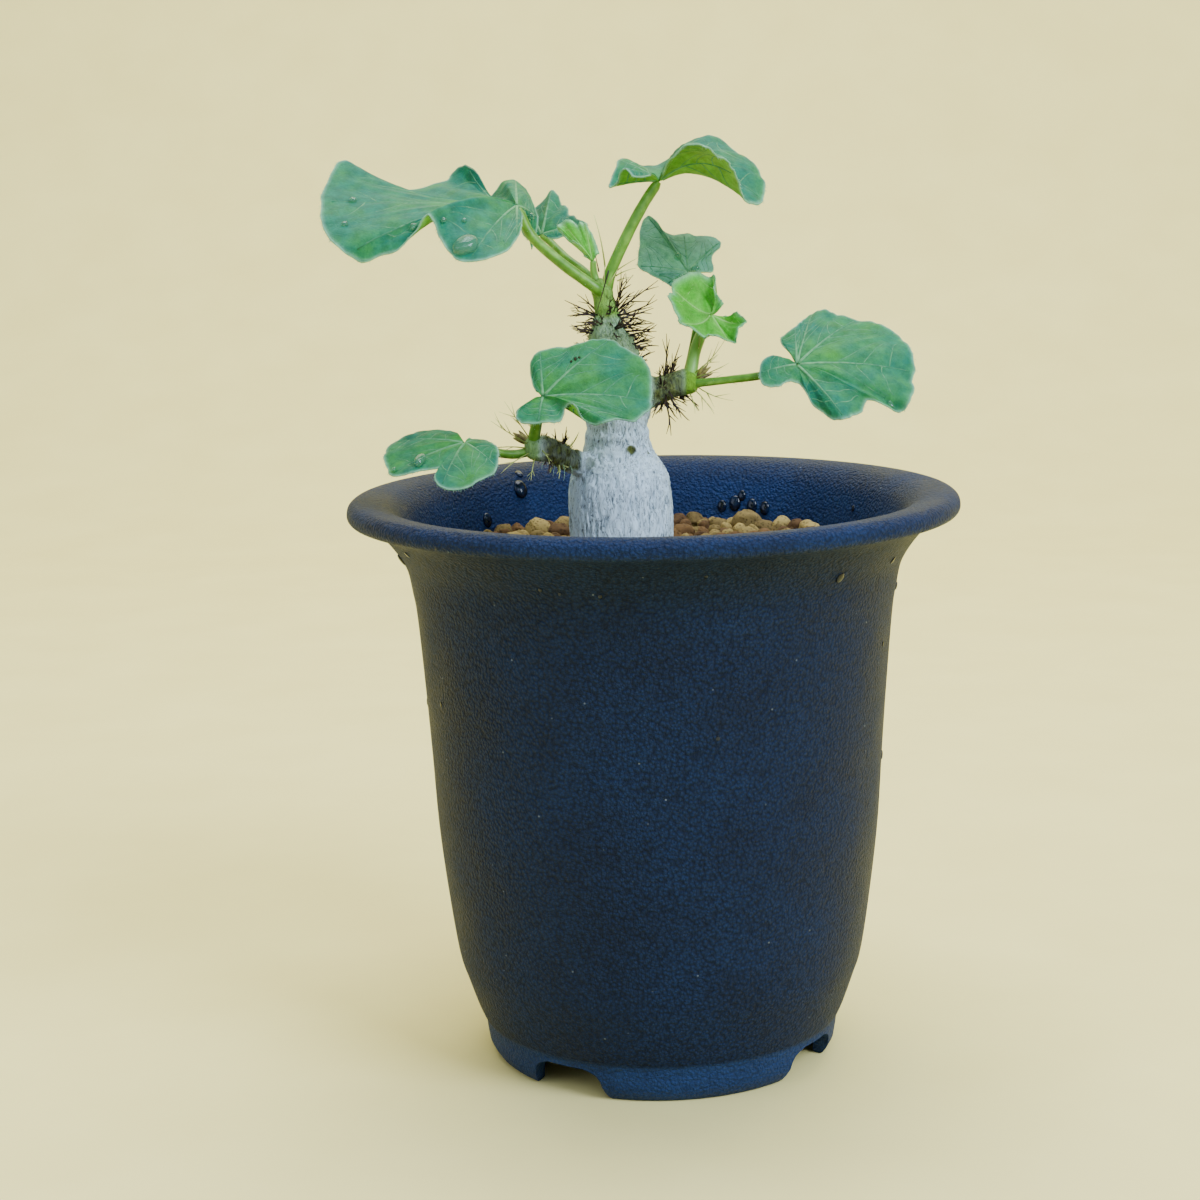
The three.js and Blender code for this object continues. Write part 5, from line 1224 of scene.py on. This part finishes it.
class JATROPHA_OT_stem(bpy.types.Operator):
    """Builds the swollen stem and its shoots in one skin with wrinkles and scars"""

    bl_idname = "jatropha.stem"
    bl_label = "Stem"

    def execute(self, context):
        look = context.scene.jatropha_stem
        rods = Shape()
        for rows, sides, steps in STEMS:
            stem_tube(rods, rows, sides, steps)
        mesh = modified(outward(rods.mesh("stem_skin")),
                        [("REMESH", {"mode": "VOXEL", "voxel_size": look.skin_step / MM}),
                         ("SMOOTH", {"factor": 0.5, "iterations": 5})])
        points, normals = read_points(mesh), read_points(mesh, "normal")
        green = stem_greenness(points)
        folds = 1 - 2 * np.abs(rough(points * np.array([1, 1, 0.17]), 0.8))
        slow = rough(points * np.array([1, 1, 0.6]), 5.5, 2)
        depth = look.wrinkle / MM * (1 - 0.75 * green)
        push = depth * folds + 0.16 * slow
        rings = np.sin(points[:, 2] * 2 * math.pi / RING_SPACING + 2.5 * rough(points, 6, 2))
        push += 0.1 * rings * blend_step(100, 104, points[:, 2])
        scar = woodiness(points)
        for x, y, z, radius, brown, raised in SCARS:
            spot = points[np.argmin(np.linalg.norm(points - np.array([x, y, z]), axis=1))]
            away = np.linalg.norm(points - spot, axis=1) / radius
            scar = np.maximum(scar, brown * (1 - blend_step(0.75, 1.15, away)))
            push += raised * np.exp(-((away - 0.8) / 0.35) ** 2)
            push -= raised * 0.6 * np.exp(-(away / 0.45) ** 2)
        write_points(mesh, points + normals * push[:, None])
        write_numbers(mesh, "green", green)
        write_numbers(mesh, "scar", scar)
        # How deep each point lies in a furrow, for the bark's painted shade
        write_numbers(mesh, "furrow", np.clip(-folds, 0, 1))
        seat(mesh, "stem_skin", [silvery_bark(look)],
             ["caudex", "main_shoot", "right_shoot", "left_shoot"])
        return {"FINISHED"}


def sprigs(draw, foot, way, length, radius):
    """The paths and radii of one forked bristle: a bowed stem and a few side needles"""
    foot, way = np.asarray(foot), unit(way)
    bow = unit(np.cross(way, draw.normal(size=3))) * length * draw.uniform(0.05, 0.2)
    share = np.linspace(0, 1, 8)[:, None]
    paths = [foot + way * length * share + bow * (share * (1 - share)) * 2]
    radii = [radius * (1 - 0.75 * share[:, 0])]
    for _ in range(draw.integers(2, 5)):
        start = draw.uniform(0.35, 0.75)
        root = foot + way * length * start + bow * (start * (1 - start)) * 2
        aim = unit(way + unit(draw.normal(size=3)) * 0.62)
        reach = length * draw.uniform(0.22, 0.42)
        paths.append(root + aim * reach * share)
        radii.append(radius * 0.6 * (1 - 0.7 * share[:, 0]))
    return paths, radii


def needle(foot, head, radius, bow):
    """The path and radii of one plain bowed needle between two points"""
    foot, head = np.asarray(foot, float), np.asarray(head, float)
    share = np.linspace(0, 1, 10)[:, None]
    side = unit(np.cross(head - foot, (0.2, 1, 0.1))) * bow
    path = foot + (head - foot) * share + side * (share * (1 - share)) * 4
    return path[None], (radius * (1 - 0.72 * share[:, 0]))[None]


class JATROPHA_OT_bristles(bpy.types.Operator):
    """Builds the forked bristles, the buds and the pale threads of the shoots"""

    bl_idname = "jatropha.bristles"
    bl_label = "Bristles"

    def execute(self, context):
        look = context.scene.jatropha_stem
        draw = np.random.default_rng(BRISTLE_SEED)
        radius = look.bristle_radius / MM
        shape = Shape()
        tufts = [(*row, DARK) for row in MAIN_TUFTS + RIGHT_TUFTS]
        tufts += [(*row, PALE if k % 3 == 2 else DARK) for k, row in enumerate(LEFT_TUFTS)]
        for foot, way, length, finish in tufts:
            way = unit(way)
            foot = np.array(foot) - way * TUFT_SINK
            length += TUFT_SINK
            grown = [(foot, way, length, radius)]
            for _ in range(TUFT_TWIGS):
                lean = unit(way + draw.normal(size=3) * 0.42)
                spot = foot + unit(np.cross(way, draw.normal(size=3))) * 0.35
                grown.append((spot, lean, length * draw.uniform(0.4, 0.8), radius * 0.85))
            for twig in grown:
                shape.add_tubes(*sprigs(draw, *twig), 5, finish)
        for foot, head, thickness, pale in CROWN_BRISTLES:
            shape.add_tubes(*needle(foot, head, thickness, draw.uniform(-0.3, 0.3)), 6,
                            PALE if pale else DARK)
        for foot, way, length in TIP_STIPULES:
            shape.add_tubes(*sprigs(draw, foot, way, length, radius * 0.62), 5, PALE)
        for foot, head in THREADS:
            shape.add_tubes(*needle(foot, head, THREAD_RADIUS, draw.uniform(-0.5, 0.5)), 5, DOWN)
        share = np.linspace(0, 1, 10)
        for foot, head, thickness in BUDS:
            foot, head = np.array(foot), np.array(head)
            radii = thickness * 0.62 * np.sin(0.5 + share * 2.55) ** 0.7
            for _ in range(BUD_LAYERS):
                aim = unit(head - foot) + draw.normal(size=3) * 0.24
                tip = foot + unit(aim) * np.linalg.norm(head - foot) * draw.uniform(0.7, 1)
                path = foot + (tip - foot) * share[:, None]
                shape.add_tubes(path[None], radii[None], 9, SCALES)
        dark = dry_horn("dry_bristles", look.bristle, linear("#38241e"))
        pale = dry_horn("fresh_bristles", linear("#7d8f3a"), linear("#c6cf82"))
        seat(shape.mesh("shoot_bristles"), "shoot_bristles",
             [dark, pale, plant_down(), bud_scales()])
        return {"FINISHED"}


class LeafForm:
    """The middle surface of one leaf, by place along its margin and share of the way out"""

    def __init__(self, leaf):
        self.leaf = leaf
        self.joint = np.array(leaf["joint"], float)
        self.up = unit(leaf["up"])
        self.rows = np.array([(*row, leaf["arch"])[:4] for row in leaf["margin"]], float)
        self.spaces = len(self.rows) - 1
        self.frill = 0.5 if leaf["young"] else 0.07
        self.depth = leaf.get("depth", 1)

    def raggedness(self, row):
        """A fine uneven ripple along the margin, about -1 to 1"""
        ripple = np.sin(row * 2.9 + 2.3 * np.sin(row * 0.83 + 1)) * 0.6
        return ripple + 0.4 * np.sin(row * 7.1 + self.joint[0] + 2.6 * np.sin(row * 0.61))

    def at(self, row, out):
        """Points of the surface, without its puckers"""
        row, out = np.asarray(row, float), np.asarray(out, float)
        place = row / self.spaces
        curve = spline(self.rows, place.ravel()).reshape(row.shape + (4,))
        reach = curve[..., :3]
        length = np.linalg.norm(reach, axis=-1)
        ragged = self.raggedness(row)
        teeth = 0.06 * np.sin(2 * math.pi * row * 0.6) + 0.09 * ragged
        teeth += 0.05 * np.sin(2 * math.pi * row * 1.37 + 1.1)
        teeth /= np.maximum(length, 1)
        height, count = self.leaf["wave"]
        rise = 4 * out * (1 - out) * curve[..., 3] / 100 * length * self.depth
        rise += self.frill * ragged * out ** 5
        rise += height * np.sin(place * count * 2 * math.pi) * out ** 2
        flat = self.joint + reach * (out * (1 + teeth * out))[..., None]
        return flat + self.up * rise[..., None]

    def veins(self):
        """Paths and radii, in rows and shares, of the main and side veins"""
        mains, sides = [], []
        ends = np.array(self.leaf["veins"], float)
        share = np.linspace(0, 1, VEIN_STEPS)
        for number, end in enumerate(ends):
            mains.append((np.full(VEIN_STEPS, end), 0.03 + 0.92 * share, 0.3 - 0.13 * share))
            before = end - ends[number - 1] if number else end * 1.6
            after = (self.spaces - end) * 1.6
            if number + 1 < len(ends):
                after = ends[number + 1] - end
            for step, (gap, way) in enumerate([(before, -1), (after, 1)]):
                for start in (0.28, 0.5, 0.72):
                    begin = start + 0.06 * step
                    spread = min(gap * 0.44, 3.4) * (1.1 - 0.35 * begin)
                    row = end + way * spread * np.sin(share * math.pi / 2) ** 0.9
                    out = begin + (0.97 - begin) * (0.86 - 0.3 * begin) * share ** 1.3
                    sides.append((row, out, 0.185 - 0.035 * share))
        return mains, sides


def hairs(draw, line, out, up, spacing, longest):
    """Paths and radii of fine hairs that stand out from a line"""
    steps = np.linalg.norm(np.diff(line, axis=0), axis=1)
    travel = np.concatenate([[0], np.cumsum(steps)])
    count = int(travel[-1] / spacing)
    spots = np.sort(draw.uniform(0, travel[-1], count))
    feet = np.stack([np.interp(spots, travel, line[:, k]) for k in range(3)], axis=1)
    outs = np.stack([np.interp(spots, travel, out[:, k]) for k in range(3)], axis=1)
    ways = outs + draw.normal(size=(count, 3)) * 0.35
    ways = unit(ways + up * draw.uniform(-0.5, 0.5, (count, 1)))
    lengths = longest * draw.uniform(0.45, 1, (count, 1, 1))
    share = np.linspace(0, 1, 3)[None, :, None]
    droop = np.array([0, 0, -0.15]) * share ** 2
    paths = feet[:, None] + (ways[:, None] * share + droop) * lengths
    radii = np.broadcast_to(0.036 - 0.022 * share[..., 0], (count, 3))
    return paths, radii


def on_grid(grid, across, out):
    """Points between the points of a grid, at shares from 0 to 1 of its rays and rings"""
    rays, rings = grid.shape[:2]
    a, b = np.clip(across, 0, 1) * (rays - 1), np.clip(out, 0, 1) * (rings - 1)
    i, j = np.minimum(a.astype(int), rays - 2), np.minimum(b.astype(int), rings - 2)
    u, v = (a - i)[:, None], (b - j)[:, None]
    near = grid[i, j] * (1 - v) + grid[i, j + 1] * v
    far = grid[i + 1, j] * (1 - v) + grid[i + 1, j + 1] * v
    return near * (1 - u) + far * u


def distance(points, lines):
    """How far each point is from the nearest point of some lines, taken in batches"""
    targets = np.vstack(lines)
    nearest = np.zeros(len(points))
    batch = 2000
    for start in range(0, len(points), batch):
        gaps = points[start:start + batch, None] - targets[None]
        nearest[start:start + batch] = np.linalg.norm(gaps, axis=2).min(axis=1)
    return nearest


def sheet_faces(rays, rings):
    """The faces of a blade: its upper sheet, its lower one and the strip around their edges"""
    count = rays * rings
    sheet = grid_faces(rays, rings)
    faces = sheet + [tuple(c + count for c in reversed(f)) for f in sheet]
    ids = np.arange(count).reshape(rays, rings)
    loop = np.concatenate([ids[:, 0], ids[-1, 1:], ids[-2::-1, -1], ids[0, -2:0:-1]])
    faces += [(b, a, a + count, b + count) for a, b in zip(loop, np.roll(loop, -1))]
    return faces


def leaf_shape(leaf, look, draw):
    """The whole shape of one leaf: blade, veins, margin, hairs and stalk"""
    form = LeafForm(leaf)
    up = form.up
    young = leaf["young"]
    youth = float(young)
    rays = form.spaces * LEAF_RAYS + 1
    levels = 1 - 0.985 * (1 - np.linspace(0, 1, LEAF_RINGS)) ** 1.6
    row, out = np.meshgrid(np.linspace(0, form.spaces, rays), levels, indexing="ij")
    grid = form.at(row, out)
    mains, sides = form.veins()
    flat = grid.reshape(-1, 3)
    from_main = distance(flat, [form.at(r, o) for r, o, _ in mains]).reshape(out.shape)
    from_side = distance(flat, [form.at(r, o) for r, o, _ in sides]).reshape(out.shape)
    nearest = np.minimum(from_main, from_side)
    pale = np.exp(-(from_main / (0.75 - 0.35 * out)) ** 1.4) * (1 - 0.5 * out)
    pale = np.maximum(pale, 0.3 * np.exp(-(from_side / 0.35) ** 1.5))
    swell = look.pucker / MM * (1.9 if young else 1.1)
    swell = swell * (1 - np.exp(-(nearest / 1.1) ** 2)) * (1 - out ** 8)
    grid = grid + up * swell[..., None]
    grid += up * (0.12 * rough(flat, 3.2).reshape(out.shape) * out)[..., None]

    normal = unit(np.cross(np.gradient(grid, axis=1), np.gradient(grid, axis=0)))
    half = look.thickness / MM / 2 / np.maximum(np.abs(normal @ up), 0.45)
    half = half * (1 - 0.35 * out ** 6)
    top, under = grid + up * half[..., None], grid - up * half[..., None]
    green = leaf["greenness"] * 0.45 + 0.3 * (1 - blend_step(0.05, 0.75, out)) - 0.05
    green = green + 0.12 * rough(flat, 7, 2).reshape(out.shape)
    edge_distance = np.linalg.norm(grid[:, -1:] - grid, axis=2)
    rim = np.exp(-(edge_distance / (0.7 if young else 0.25)) ** 1.3)
    # A leaf's down share paints its whole blade lighter with the margin colour, as painted light
    rim = np.maximum(rim * (0.7 if young else 0.4), leaf.get("down", 0))
    shape = Shape()
    shape.add(np.vstack([top.reshape(-1, 3), under.reshape(-1, 3)]), sheet_faces(rays, LEAF_RINGS),
              BLADE, top=np.repeat([1, 0], out.size), youth=youth,
              **{key: np.tile(values.ravel(), 2)
                 for key, values in (("green", green), ("rim", rim), ("pale", pale))})

    ring_places = np.linspace(0, 1, LEAF_RINGS)
    for paths, faint in ((mains, 0), (sides, 0.6)):
        lines = np.array([on_grid(grid, r / form.spaces, np.interp(o, levels, ring_places))
                          for r, o, _ in paths])
        radii = np.array([size for _, _, size in paths]) * (0.8 if young else 1)
        shape.add_tubes(lines, radii, 6, RIB, faint, top=1, youth=youth)

    edge = grid[:, -1]
    shape.add_tubes(edge[None], np.full((1, rays), MARGIN_RADIUS), 6, BLADE, top=1, rim=0.5,
                    youth=youth, green=0.3)
    outs = unit(edge - grid[:, -2])
    shape.add_tubes(*hairs(draw, edge, outs, up, MARGIN_HAIR_GAP, look.hair / MM), 3, HAIR)

    share = np.linspace(0, 1, STALK_STEPS)
    stalk = spline(leaf["petiole"], share)
    middle = stalk[:, :3]
    radii = stalk[:, 3] * 0.92 * (1 - 0.35 * blend_step(0.94, 1, share))
    radii = radii + 0.03 * rough(middle, 1.5, 2)
    stripe = np.tile(0.5 + 0.5 * np.sin(turns(STALK_SIDES) * STALK_STRIPES), STALK_STEPS)
    shape.add_tubes(middle[None], radii[None], STALK_SIDES, STALK, stripe=stripe, youth=youth)
    spread = unit(np.cross(np.gradient(middle, axis=0), draw.normal(size=(STALK_STEPS, 3))))
    paths, hair_radii = hairs(draw, middle, spread, up, STALK_HAIR_GAP, STALK_HAIR)
    offset = unit(paths[:, -1] - paths[:, 0])[:, None] * stalk[:, 3].mean() * 0.93
    shape.add_tubes(paths + offset, hair_radii * 0.8, 3, HAIR)
    return shape


class JATROPHA_OT_leaves(bpy.types.Operator):
    """Builds the nine leaves with their stalks, veins and downy margins"""

    bl_idname = "jatropha.leaves"
    bl_label = "Leaves"

    def execute(self, context):
        look = context.scene.jatropha_leaf
        finishes = [living_blade(look), leaf_rib(look), plant_down(), leaf_stalk(look)]
        for number, leaf in enumerate(LEAVES):
            shape = leaf_shape(leaf, look, np.random.default_rng(LEAF_SEED + number))
            name = leaf["name"] + "_fine"
            seat(shape.mesh(name), name, finishes, [leaf["name"]])
        return {"FINISHED"}


def bead(middle, normal, aim, width, depth, height):
    """Points and faces of a bead of water on a surface: a low dome with a round foot"""
    normal = unit(normal)
    side = unit(np.cross(normal, aim))
    ahead = np.cross(side, normal)
    angles = turns(BEAD_SIDES)
    rows = []
    for share in np.linspace(0, 1, BEAD_RINGS)[1:]:
        rise = share * math.pi / 2
        radius = math.sin(rise) ** 0.8
        rows.append(middle + np.outer(np.cos(angles), side) * width / 2 * radius
                    + np.outer(np.sin(angles), ahead) * depth / 2 * radius
                    + normal * (math.cos(rise) * height))
    foot = rows[-1] - normal * 0.45
    rows.append(middle + (foot - middle) * 0.96)
    last = (len(rows) - 1) * BEAD_SIDES
    faces = grid_faces(len(rows), BEAD_SIDES, True) + end_faces(0, last, BEAD_SIDES)
    return np.vstack(rows), faces


class JATROPHA_OT_rain(bpy.types.Operator):
    """Lays beads of rain on the leaves and the pot, and crumbs of peat on the leaf in front"""

    bl_idname = "jatropha.rain"
    bl_label = "Rain"

    def execute(self, context):
        drops = Shape()
        forms = {leaf["name"]: LeafForm(leaf) for leaf in LEAVES}
        for name, row, out, width, depth in BEADS:
            form = forms[name]
            along = form.at(row + 0.2, out) - form.at(row - 0.2, out)
            away = form.at(row, out + 0.02) - form.at(row, out - 0.02)
            normal = unit(np.cross(away, along))
            normal = normal * np.sign(normal @ form.up)
            drops.add(*bead(form.at(row, out) + normal * 0.5, normal, along, width, depth,
                            min(width, depth) * 0.36))
        crumbs = Shape()
        draw = np.random.default_rng(CRUMB_SEED)
        form = forms["leaf_centre_front"]
        for row, out, size in CRUMBS:
            lump, faces = ball(2)
            lump = lump * draw.uniform(0.7, 1.3, 3) * size * (1 + 0.25 * rough(lump, 0.9)[:, None])
            crumbs.add(form.at(row, out) + form.up * 0.25 + lump, faces, tone=0.3)
        peat = porous_stone("peat_crumb", linear("#10120a"), linear("#38402a"), 0.5 * MM)
        seat(crumbs.mesh("leaf_crumbs"), "leaf_crumbs", [peat])
        for span, way, beads, bulge in ((OUTSIDE, 1, OUTER_BEADS, 0.2),
                                        (INSIDE, -1, INNER_BEADS, 0.3)):
            wall = np.array(WALL_PROFILE[span])[::way]
            for angle, height, width in beads:
                angle = math.radians(angle)
                radius, above = np.interp((height, height + 1), wall[:, 1], wall[:, 0])
                out = np.array([math.sin(angle), -math.cos(angle), 0])
                normal = (out - np.array([0, 0, above - radius])) * way
                middle = out * radius + np.array([0, 0, height])
                drops.add(*bead(middle, normal, (0, 0, 1), width, width * 1.35, width * bulge), 1)
        seat(outward(drops.mesh("rain_beads")), "rain_beads", [rain_water(), wet_plastic()])
        return {"FINISHED"}


# The settings of each group, by the name under which the scene holds them
GROUPS = {
    "jatropha_stage": StageLook, "jatropha_pot": PotLook, "jatropha_soil": SoilLook,
    "jatropha_stem": StemLook, "jatropha_leaf": LeafLook,
}
OPERATORS = (
    JATROPHA_OT_stage, JATROPHA_OT_pot, JATROPHA_OT_soil, JATROPHA_OT_stem,
    JATROPHA_OT_bristles, JATROPHA_OT_leaves, JATROPHA_OT_rain,
)


class JATROPHA_PT_panel(bpy.types.Panel):
    """The plant's panel in the sidebar"""

    bl_label = "Potted jatropha marginata"
    bl_idname = "JATROPHA_PT_panel"
    bl_space_type = "VIEW_3D"
    bl_region_type = "UI"
    bl_category = "Jatropha"

    def draw(self, context):
        for group, look in GROUPS.items():
            box = self.layout.box()
            box.label(text=look.__doc__)
            settings = getattr(context.scene, group)
            for key in settings.__annotations__:
                box.prop(settings, key)
        for operator in OPERATORS:
            self.layout.operator(operator.bl_idname)


CLASSES = (*GROUPS.values(), *OPERATORS, JATROPHA_PT_panel)


def register():
    for kind in CLASSES:
        bpy.utils.register_class(kind)
    for group, look in GROUPS.items():
        setattr(bpy.types.Scene, group, PointerProperty(type=look))


def unregister():
    for group in GROUPS:
        delattr(bpy.types.Scene, group)
    for kind in reversed(CLASSES):
        bpy.utils.unregister_class(kind)


def main():
    register()
    bpy.ops.jatropha.stage()
    bpy.ops.jatropha.pot()
    bpy.ops.jatropha.soil()
    bpy.ops.jatropha.stem()
    bpy.ops.jatropha.bristles()
    bpy.ops.jatropha.leaves()
    bpy.ops.jatropha.rain()


if __name__ == "__main__":
    main()
